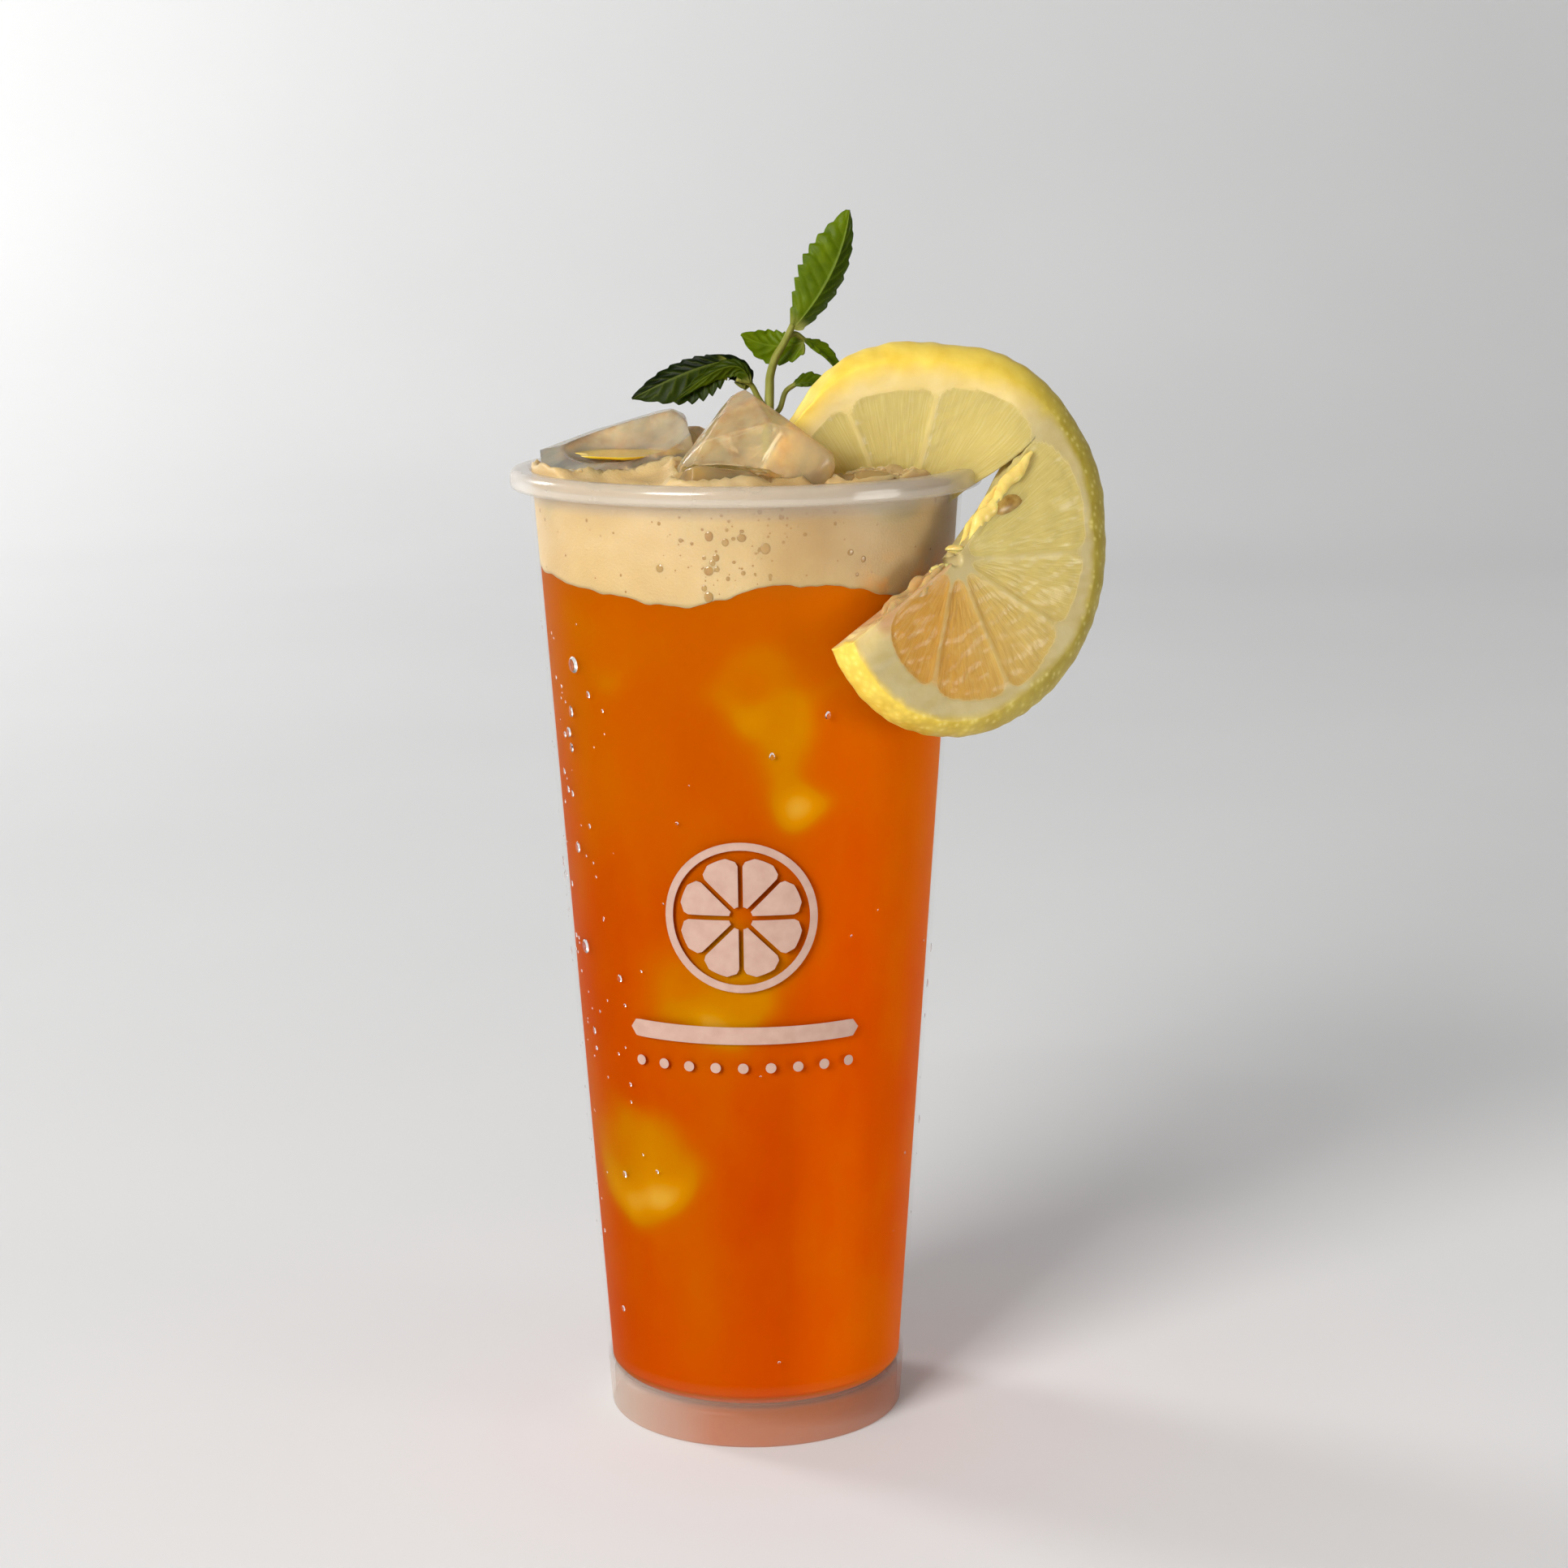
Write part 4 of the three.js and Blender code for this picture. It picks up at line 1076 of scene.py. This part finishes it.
def torn_strip(angle, from_radius, to_radius, depth, thick, seed):
    """A ragged strip of membrane along an edge of the flesh."""
    rows, sides = 90, 18
    share = np.linspace(0, 1, rows)
    radius = lerp(from_radius, to_radius, share)
    middle = slice_point(np.full(rows, float(angle)), radius, np.full(rows, depth), np.zeros(rows))
    a = math.radians(angle)
    outward = math.cos(a) * RIGHTWARD + math.sin(a) * UPWARD
    sideways = np.cross(FACING, outward)
    turn = full_turn(sides)
    girth = thick * np.clip(np.sin(np.pi * share), 0, 1) ** 0.4
    rings = (middle[:, None] + sideways * (girth[:, None] * 0.9 * np.cos(turn))[..., None]
             + FACING * (girth[:, None] * 0.6 * np.sin(turn))[..., None])
    rough = 0.22 * ripple(rings, 6.5, seed) + 0.08 * ripple(rings, 2.2, seed + 1)
    bumpy = rings + (rings - middle[:, None]) * rough[..., None]
    wander = 0.45 * ripple(middle, 5.0, seed + 2)[:, None, None] * sideways
    values = {"amber": np.full((rows, sides), 1.0 if angle < -100 else 0.0)}
    return grid_part(bumpy + wander, values, wrap_columns=True)


def film_material():
    """Wet torn membrane: yellow along the tear, paler and clearer where amber is 1."""
    paint = Paint("lemon_membrane")
    cloud = paint.noise(420, 4)
    yellow = paint.ramp(cloud, (0.3, 222, 192, 98), (0.7, 240, 214, 126))
    pale = paint.ramp(cloud, (0.3, 214, 172, 104), (0.7, 236, 204, 148))
    colour = paint.mix(paint.value("amber"), yellow, pale)
    clear = paint.times(paint.value("amber"), paint.fade(cloud, 0.35, 0.65, 0.2, 0.7))
    return paint.done(paint.principled(
        colour, Roughness=0.14, IOR=1.35, Normal=paint.bump(cloud, 0.2, 0.4),
        Transmission_Weight=clear, Subsurface_Weight=0.4, Subsurface_Scale=0.002))


def core_scrap(angle, radius, depth, size, seed):
    """A torn scrap of the white core: two domes back to back, roughened."""
    sides, stretch = 20, np.array([1.4, 0.8, 0.9])
    points, _ = dome(1.0, 1.0, sides, 9)
    upper = points[:-sides]
    points = np.concatenate([upper, (upper * (1, 1, -1))[::-1]])
    rough = 1 + 0.26 * ripple(points, 2.4, seed) + 0.06 * ripple(points, 0.9, seed + 1)
    place = [np.array([float(value)]) for value in (angle, radius, depth, 0)]
    grid = (slice_point(*place) + points * rough[:, None] * size * stretch).reshape(-1, sides, 3)
    return grid_part(grid, {"amber": np.full(grid.shape[:2], 0.35)}, wrap_columns=True)


def make_films(material):
    """Torn membrane along the tear and along the cut, and scraps of the core."""
    parts = [torn_strip(TEAR_ANGLE - 0.8, 1.5, 28.5, 0.9, 1.5, 71),
             torn_strip(TEAR_ANGLE - 0.3, 3.0, 25.0, 2.8, 1.3, 75),
             torn_strip(CUT_ANGLE + 0.8, 1.5, 21.0, 0.9, 1.25, 81),
             torn_strip(CUT_ANGLE + 0.4, 3.0, 19.0, 2.8, 1.1, 85)]
    for k, (angle, radius, depth, size) in enumerate(CORE_SCRAPS):
        parts.append(core_scrap(angle, radius, depth, size, 90 + 3 * k))
    build_joined("lemon_torn_membranes", parts, material, "lemon", weld=1e-3)


def make_seed(material):
    """A seed bared in the segment next to the tear."""
    angle, radius, depth, lean = 35, 16.8, 1.1, 0.35
    sides, rows = 20, 14
    turn = full_turn(sides)
    tilt = np.linspace(0, np.pi, rows)[:, None]
    along = -np.cos(tilt) * 4.3
    wide = np.sin(tilt) ** 0.8 * 2.0 * (1 + 0.25 * np.cos(tilt))
    local = np.stack(np.broadcast_arrays(along, wide * np.cos(turn), 0.62 * wide * np.sin(turn)), -1)
    place = slice_point(*(np.array(float(value)) for value in (angle, radius, depth, 0)))
    a = math.radians(angle) - lean
    line = math.cos(a) * RIGHTWARD + math.sin(a) * UPWARD
    side = np.cross(FACING, line)
    grid = place + local[..., :1] * line + local[..., 1:2] * side + local[..., 2:] * FACING
    build_joined("lemon_seed", [grid_part(grid, wrap_columns=True)], material, "lemon", weld=1e-3)


# ---- mint ----
# Midrib (base, control, tip), side of the left half, and for the left and the right half its
# width, its fold and how dark its painted shade is; then the number of teeth. The last blade
# fills the dark hollow under the sprig, near black all over as painted shade.
LEAVES = [
    ([(9.4, 6, 212.8), (18.8, 4.6, 222.9), (20.3, 7, 234.9)], (-0.9, 0.1, 0.42),
     (6.6, 4.8), (8, 52), (0.1, 0.85), 9),
    ([(11.4, 8.3, 210.0), (5.5, 9, 207.8), (-0.7, 8, 211.5)], (-0.05, 0.25, 0.97),
     (3.5, 3.8), (12, 14), (0.0, 0.0), 6),
    ([(11.2, 8, 210.4), (14.4, 8, 208.6), (20.0, 9, 202.2)], (0.25, 0.85, 0.45),
     (2.5, 2.5), (30, 30), (0.15, 0.1), 6),
    ([(9.2, 9.5, 201.4), (12.4, 9.5, 203.0), (18.2, 10, 199.6)], (0.05, 0.8, 0.6),
     (2.8, 2.8), (20, 35), (0.4, 0.5), 6),
    ([(-3.4, 3.0, 206.9), (-10.5, 2.4, 205.8), (-21.6, 3, 199.8)], (0.12, 0.3, 0.95),
     (2.8, 6.4), (5, 12), (1.0, 0.85), 8),
    ([(0.9, 2.6, 202.6), (-0.6, 1.4, 210.6), (-13.4, 0.8, 199.4)], (0.3, 0.2, 0.93),
     (1.7, 2.4), (20, 30), (0.75, 0.55), 7),
    # Near black all over: a blade put in the dark hollow as painted shade.
    ([(-0.2, 3.6, 201.4), (1.8, 4.8, 206.4), (-7.4, 6, 207.6)], (0.75, 0.5, 0.45),
     (3.0, 3.4), (25, 25), (1.0, 1.0), 5),
]
# Stem and stalks: points, and the radius at each end.
STALKS = [
    ([(4.2, 5.2, 182), (4.5, 5.6, 194), (4.7, 6, 201), (4.9, 6, 204), (6.0, 6, 207.4), (7.6, 6, 210),
      (9.3, 6, 213.4)], 0.95, 0.6),
    ([(8.2, 6.2, 211.2), (9.8, 7.4, 211.6), (11.6, 8.4, 210.4)], 0.6, 0.4),
    ([(4.8, 6.0, 196.0), (6.6, 8.2, 197.2), (7.8, 9.2, 200.4), (9.8, 9.5, 201.9)], 0.55, 0.45),
    ([(4.5, 5.6, 196.5), (2.6, 4.6, 199.5), (1.0, 3.6, 202.4), (-1.6, 2.9, 203.4)], 0.6, 0.45),
]
LEAF_THICKNESS = 0.34
ROWS_PER_TOOTH = 12
LEAF_COLUMNS = 25
STALK_SIDES = 16


def leaf(midrib, side, halves, folds, painted_shades, teeth):
    """A toothed blade folded along its midrib, puffed up between its veins."""
    s = np.linspace(0, 1, ROWS_PER_TOOTH * teeth)[:, None]
    base, control, tip = (np.array(p, float) for p in midrib)
    middle = (1 - s) ** 2 * base + 2 * s * (1 - s) * control + s * s * tip
    tangent = 2 * (1 - s) * (control - base) + 2 * s * (tip - control)
    tangent /= np.linalg.norm(tangent, axis=1)[:, None]
    normal = np.cross(tangent, np.array(side, float))
    normal /= np.linalg.norm(normal, axis=1)[:, None]
    left = np.cross(normal, tangent)
    c = np.linspace(-1, 1, LEAF_COLUMNS)[None, :]
    slim = np.sin(np.pi * np.minimum(s * 0.95 + 0.03, 1)) ** 0.75
    full = np.sin(np.pi * np.minimum(s * 0.86 + 0.14, 1))
    full = np.minimum(full, 0.12 + (s / 0.16) ** 0.7) ** 0.85
    outline = np.where(c < 0, full, slim)
    lean = np.abs(c)
    tooth = (s * teeth + 0.4 * (c < 0)) % 1.0
    tooth = np.where(tooth < 0.78, tooth / 0.78, (1 - tooth) / 0.22)
    width = np.where(c < 0, halves[1], halves[0]) * outline * (0.84 + 0.16 * tooth ** 0.8)
    width = np.maximum(width, 0.18)
    fold = np.radians(np.where(c < 0, folds[1], folds[0]))
    # Painted shade of each half: 0 where it is lit, 1 where it is darkest.
    shade = np.where(c < 0, painted_shades[1], painted_shades[0]) + 0 * s
    vein_at = s * teeth - 1.7 * lean + 0.35 * (c < 0)
    between = np.abs((vein_at % 1.0) - 0.5) * 2
    vein = 0.45 * smoothstep(between, 0.74, 1.0) * smoothstep(1 - lean, 0.0, 0.4)
    vein = np.maximum(vein, smoothstep(0.09 - lean, 0.0, 0.05))
    puff = 0.34 * (1 - between ** 2) * np.sin(np.pi * np.clip(lean, 0, 1)) * outline
    wave = 0.25 * np.sin(9 * s + 4 * c) * lean
    curl = 0.35 * lean ** 3 * width * 0.2
    middle, normal3, left3 = middle[:, None, :], normal[:, None, :], left[:, None, :]
    sheet = (middle + left3 * (c * width * np.cos(fold))[..., None]
             + normal3 * (lean * width * np.sin(fold) + wave + puff - curl)[..., None])
    thin = LEAF_THICKNESS * (1 - 0.6 * lean ** 4)[..., None] / 2
    front, back = sheet + normal3 * thin, sheet - normal3 * thin
    loop = np.concatenate([front, back[:, ::-1]], 1)
    values = {"vein": np.concatenate([vein, vein[:, ::-1]], 1),
              "shade": np.concatenate([shade, shade[:, ::-1]], 1), "stem": np.zeros(loop.shape[:2])}
    values["stem"] += 0.7 * np.concatenate([smoothstep(0.12 - s, 0, 0.1) + 0 * c] * 2, 1)
    parts = [grid_part(loop, values, wrap_columns=True)]
    for row in (0, -1):
        end = {key: np.stack([value[row, :LEAF_COLUMNS]] * 2) for key, value in values.items()}
        parts.append(grid_part(np.stack([front[row], back[row]]), end))
    return parts


def curve_through(points, steps):
    """Points along a smooth curve through the given ones."""
    points = np.array(points, float)
    ends = np.concatenate([[2 * points[0] - points[1]], points, [2 * points[-1] - points[-2]]])
    line = []
    for k in range(len(points) - 1):
        a, b, c, d = ends[k:k + 4]
        for t in np.linspace(0, 1, steps, endpoint=False):
            line.append(0.5 * (2 * b + (c - a) * t + (2 * a - 5 * b + 4 * c - d) * t * t
                               + (3 * b - a - 3 * c + d) * t ** 3))
    return np.array([*line, points[-1]])


def stalk(points, thick, thin):
    """A stem with four soft corners, as mint has, tapering to its end."""
    line = curve_through(points, 9)
    along = np.gradient(line, axis=0)
    along /= np.linalg.norm(along, axis=1)[:, None]
    side = np.cross(along, [0.0, 1.0, 0.0])
    side /= np.linalg.norm(side, axis=1)[:, None]
    other = np.cross(along, side)
    turn = full_turn(STALK_SIDES)
    radius = np.linspace(thick, thin, len(line))[:, None] * (1 + 0.07 * np.cos(4 * turn))
    rings = (line[:, None] + side[:, None] * (radius * np.cos(turn))[..., None]
             + other[:, None] * (radius * np.sin(turn))[..., None])
    caps = [np.broadcast_to(line[k], (1, STALK_SIDES, 3)) for k in (0, -1)]
    loop = np.concatenate([caps[0], rings, caps[1]])
    none = np.zeros(loop.shape[:2])
    return grid_part(loop, {"vein": none, "shade": none, "stem": none + 1}, wrap_columns=True)


def make_mint(material):
    """The whole sprig in one piece."""
    parts = [stalk(*row) for row in STALKS]
    for row in LEAVES:
        parts.extend(leaf(*row))
    build_joined("mint_leaves", parts, material, "mint", ["mint_sprig"], weld=1e-3)


# ---- condensation, print and froth ----
DROPLETS = 150
FROTH_BUBBLES = 420


def make_droplets(material):
    """Droplets on the outside of the cup, most of them on its left, some with a run above them."""
    draw = np.random.default_rng(8)
    spots = [(-146, 152.4, 1.5), (-152, 139.0, 0.9), (-151, 136.0, 0.7), (-152.5, 116.5, 0.9),
             (-153, 97.0, 1.3), (-149.5, 143.0, 0.8), (-11, 86.5, 0.8), (-179, 110.0, 0.9),
             (-176, 107.5, 0.7), (-178, 92.5, 0.8), (-2, 92.0, 0.7), (-4, 57.5, 0.8)]
    for _ in range(DROPLETS):
        azimuth = draw.normal(-156, 14) if draw.uniform() < 0.6 else draw.uniform(-180, 180)
        z = draw.triangular(20, 158, 164) if draw.uniform() < 0.7 else draw.uniform(12, 160)
        spots.append((azimuth, z, min(draw.lognormal(-1.3, 0.42), 0.6)))
    parts = []
    for azimuth, z, size in spots:
        points, faces = dome(1.0, 0.26, 18, 6)
        fall = draw.uniform(1.0, 1.5) if size > 0.5 else draw.uniform(0.9, 1.15)
        tail = np.where(points[:, 1] > 0, 1 + (fall - 1) * 1.6, 1.0)
        narrow = np.where(points[:, 1] > 0, 1 - 0.35 * (fall - 1) * points[:, 1], 1.0)
        place, around, up, out = on_wall(azimuth, z, 0.01)
        moved = (place + (points[:, :1] * narrow[:, None]) * around * size
                 + (points[:, 1:2] * tail[:, None]) * up * size + points[:, 2:] * out * size)
        parts.append((moved, faces, {}))
    build_joined("droplets", parts, material, "cup", weld=1e-4)


PRINT_AZIMUTH = -93.0
PRINT_STAND_OFF = 0.03
PRINT_THICKNESS = 0.05
MARK_HEIGHT = 107.0
MARK_RADIUS = 14.5
MARK_SEGMENTS = 8
MARK_LINE = 1.5
BAR_HEIGHT = 84.0
DOTS_HEIGHT = 77.6
DOTS = 9
DOT_SPACING = 5.2


def wrapped(around_mm, z):
    """Two layers of a flat grid laid on the cup's wall: distance round it, and height."""
    layers = []
    for lift in (PRINT_STAND_OFF, PRINT_STAND_OFF + PRINT_THICKNESS):
        r = outer_radius(z) + lift
        turn = math.radians(PRINT_AZIMUTH) + around_mm / outer_radius(z)
        layers.append(turned(r, turn, z))
    return layers


def patch(around_mm, z, ring=False):
    """A printed shape from a grid of places on the wall, as a thin closed body."""
    low, high = wrapped(around_mm, z)
    loop = np.concatenate([low, high[:, ::-1]], 1)
    parts = [grid_part(loop, wrap_rows=ring, wrap_columns=True)]
    if not ring:
        parts += [grid_part(np.stack([low[row], high[row]])) for row in (0, -1)]
    return parts


def bar(width, height, z, middle=0.0):
    """A bar with round ends."""
    x = np.linspace(-width / 2, width / 2, 41)[:, None]
    past = np.clip(np.abs(x) - (width - height) / 2, 0, height / 2)
    tall = np.sqrt(np.maximum((height / 2) ** 2 - past ** 2, 1e-4))
    y = np.linspace(-1, 1, 5)[None, :] * tall
    return patch(middle + x + 0 * y, z + y)


def make_print(material):
    """A generic mark: a citrus wheel, a bar below it and a row of dots."""
    parts = []
    inner, gap = MARK_RADIUS - MARK_LINE, 0.9
    turn = full_turn(72)[:, None]
    r = np.array([inner, MARK_RADIUS])[None, :]
    parts.extend(patch(r * np.cos(turn), MARK_HEIGHT + r * np.sin(turn), ring=True))
    for k in range(MARK_SEGMENTS):
        mid = 2 * math.pi * (k + 0.5) / MARK_SEGMENTS
        share = np.linspace(0, 1, 12)[:, None]
        r = lerp(2.2, inner - 1.3, share)
        half = np.maximum(math.pi / MARK_SEGMENTS - gap / r / 2, 0.02)
        half = half * np.sqrt(np.clip(1 - np.clip(share - 0.8, 0, 1) ** 2 * 20, 0.05, 1))
        across = np.linspace(-1, 1, 7)[None, :] * half
        parts.extend(patch(r * np.cos(mid + across), MARK_HEIGHT + r * np.sin(mid + across)))
    parts.extend(bar(46, 3.4, BAR_HEIGHT))
    for k in range(DOTS):
        parts.extend(bar(2.0, 2.0, DOTS_HEIGHT, middle=(k - DOTS // 2) * DOT_SPACING))
    build_joined("wall_print", parts, material, "cup", weld=1e-4, smooth=False)


def make_froth(material):
    """Small clear bubbles on top of the foam: many in front by the lemon, the rest all over."""
    draw = np.random.default_rng(17)
    foam = bpy.data.objects["foam_body"]
    tree = BVHTree.FromObject(foam, bpy.context.evaluated_depsgraph_get())
    parts = []
    while len(parts) < FROTH_BUBBLES:
        if draw.uniform() < 0.45:
            x, y = draw.normal(26, 7), draw.normal(-22, 7)
        else:
            x, y = draw.uniform(-40, 40, 2)
        if math.hypot(x, y) > 39:
            continue
        start = Vector((x * MM + AXIS_X, y * MM, (CUP_HEIGHT + 8) * MM))
        hit, normal, _, _ = tree.ray_cast(start, Vector((0, 0, -1)), 14 * MM)
        if hit is None or normal.z < 0.4:
            continue
        size = min(draw.lognormal(-1.0, 0.45), 0.95)
        points, faces = dome(size, size * 0.75, 12, 5)
        place = np.array([(hit.x - AXIS_X) / MM, hit.y / MM, hit.z / MM - 0.1])
        parts.append((points + place, faces, {}))
    build_joined("froth_bubbles", parts, material, "foam", weld=1e-4)


# ---- stage ----
# The camera was fitted to the cup's rim, foot and sides in the photo: its place and lens in mm, its
# angles in radians.
CAMERA_PLACE = (0.0, -615.387, 245.993)
CAMERA_YAW = 0.0109
CAMERA_PITCH = 0.19399
CAMERA_ROLL = -0.00931
CAMERA_LENS = 73.943


def make_camera():
    yaw, pitch = CAMERA_YAW, CAMERA_PITCH
    level = math.cos(pitch)
    forward = Vector((math.sin(yaw) * level, math.cos(yaw) * level, -math.sin(pitch)))
    right = Vector((math.cos(yaw), -math.sin(yaw), 0))
    up = right.cross(forward)
    turned_right = right * math.cos(CAMERA_ROLL) + up * math.sin(CAMERA_ROLL)
    turned_up = up * math.cos(CAMERA_ROLL) - right * math.sin(CAMERA_ROLL)
    data = bpy.data.cameras.new("camera")
    data.sensor_width = 36
    data.lens = CAMERA_LENS
    camera = bpy.data.objects.new("camera", data)
    basis = Matrix((turned_right, turned_up, -forward)).transposed()
    camera.matrix_world = basis.to_4x4()
    x, y, z = CAMERA_PLACE
    camera.location = (x * MM + AXIS_X, y * MM, z * MM)
    bpy.context.scene.collection.objects.link(camera)
    bpy.context.scene.camera = camera


def make_light(name, place, size, power, colour=(1, 1, 1), aim=(0, 0, 0.1)):
    """A round soft light. Its places are in metres."""
    data = bpy.data.lights.new(name, "AREA")
    data.shape = "DISK"
    data.size = size
    data.energy = power
    data.color = colour
    light = bpy.data.objects.new(name, data)
    light.location = place
    light.rotation_mode = "QUATERNION"
    light.rotation_quaternion = (Vector(aim) - Vector(place)).to_track_quat("-Z", "Y")
    bpy.context.scene.collection.objects.link(light)


def floor_material():
    paint = Paint("pale_floor")
    colour = paint.ramp(paint.noise(3, 2), (0.3, 228, 228, 228), (0.7, 232, 232, 232))
    return paint.done(paint.principled(colour, Roughness=0.8, Specular_IOR_Level=0.1))


def make_stage():
    """A pale floor that bends up into a wall behind the drink, a grey sky and four lights, all in
    metres."""
    bend, reach, half, top = 0.9, 1.3, 9.0, 5.0
    line = [(-half, 0.0), (0.0, 0.0)]
    line += [(reach + bend * math.sin(a), bend - bend * math.cos(a))
             for a in np.linspace(0, math.pi / 2, 24)]
    line.append((reach + bend, top))
    points = [(x, y, z) for y, z in line for x in (-half, half)]
    mesh = bpy.data.meshes.new("sweep")
    mesh.from_pydata(points, [], grid_quads(len(line), 2).tolist())
    mesh.shade_smooth()
    sweep = bpy.data.objects.new("sweep", mesh)
    sweep.data.materials.append(floor_material())
    bpy.context.scene.collection.objects.link(sweep)
    world = bpy.data.worlds.new("studio")
    bpy.context.scene.world = world
    world.use_nodes = True
    sky = world.node_tree.nodes["Background"].inputs
    sky["Color"].default_value = (0.95, 0.96, 0.98, 1)
    sky["Strength"].default_value = 0.2
    make_light("key", (-1.22, -1.68, 0.98), 1.15, 58, (1.0, 0.99, 0.97))
    make_light("spark", (-0.5, -1.2, 1.3), 0.08, 1.2)
    make_light("left_fill", (-1.7, 1.1, 0.9), 0.8, 23, aim=(-0.35, 1.4, 0.0))
    make_light("right_fill", (0.6, -0.3, 0.1), 0.3, 1.4, (1.0, 0.98, 0.94), aim=(0, 0, 0.12))
    bpy.context.scene.view_settings.view_transform = "Standard"


# ---- everything ----
make_cup()
make_tea(tea_material())
sunk = ice_material("ice_sunk", rgb(240, 190, 90), rgb(226, 150, 40), 0.4)
for node in SUNK_ICE:
    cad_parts[node].data.materials.clear()
    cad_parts[node].data.materials.append(sunk)
top_ice = make_top_ice()
make_puddle(puddle_material())
make_foam(foam_material(), top_ice)
make_wall_bubbles(bubble_material())
make_froth(froth_material())
make_lemon(lemon_material())
make_films(film_material())
make_seed(seed_material())
make_mint(mint_material())
make_droplets(droplet_material())
make_print(print_material())
make_camera()
make_stage()
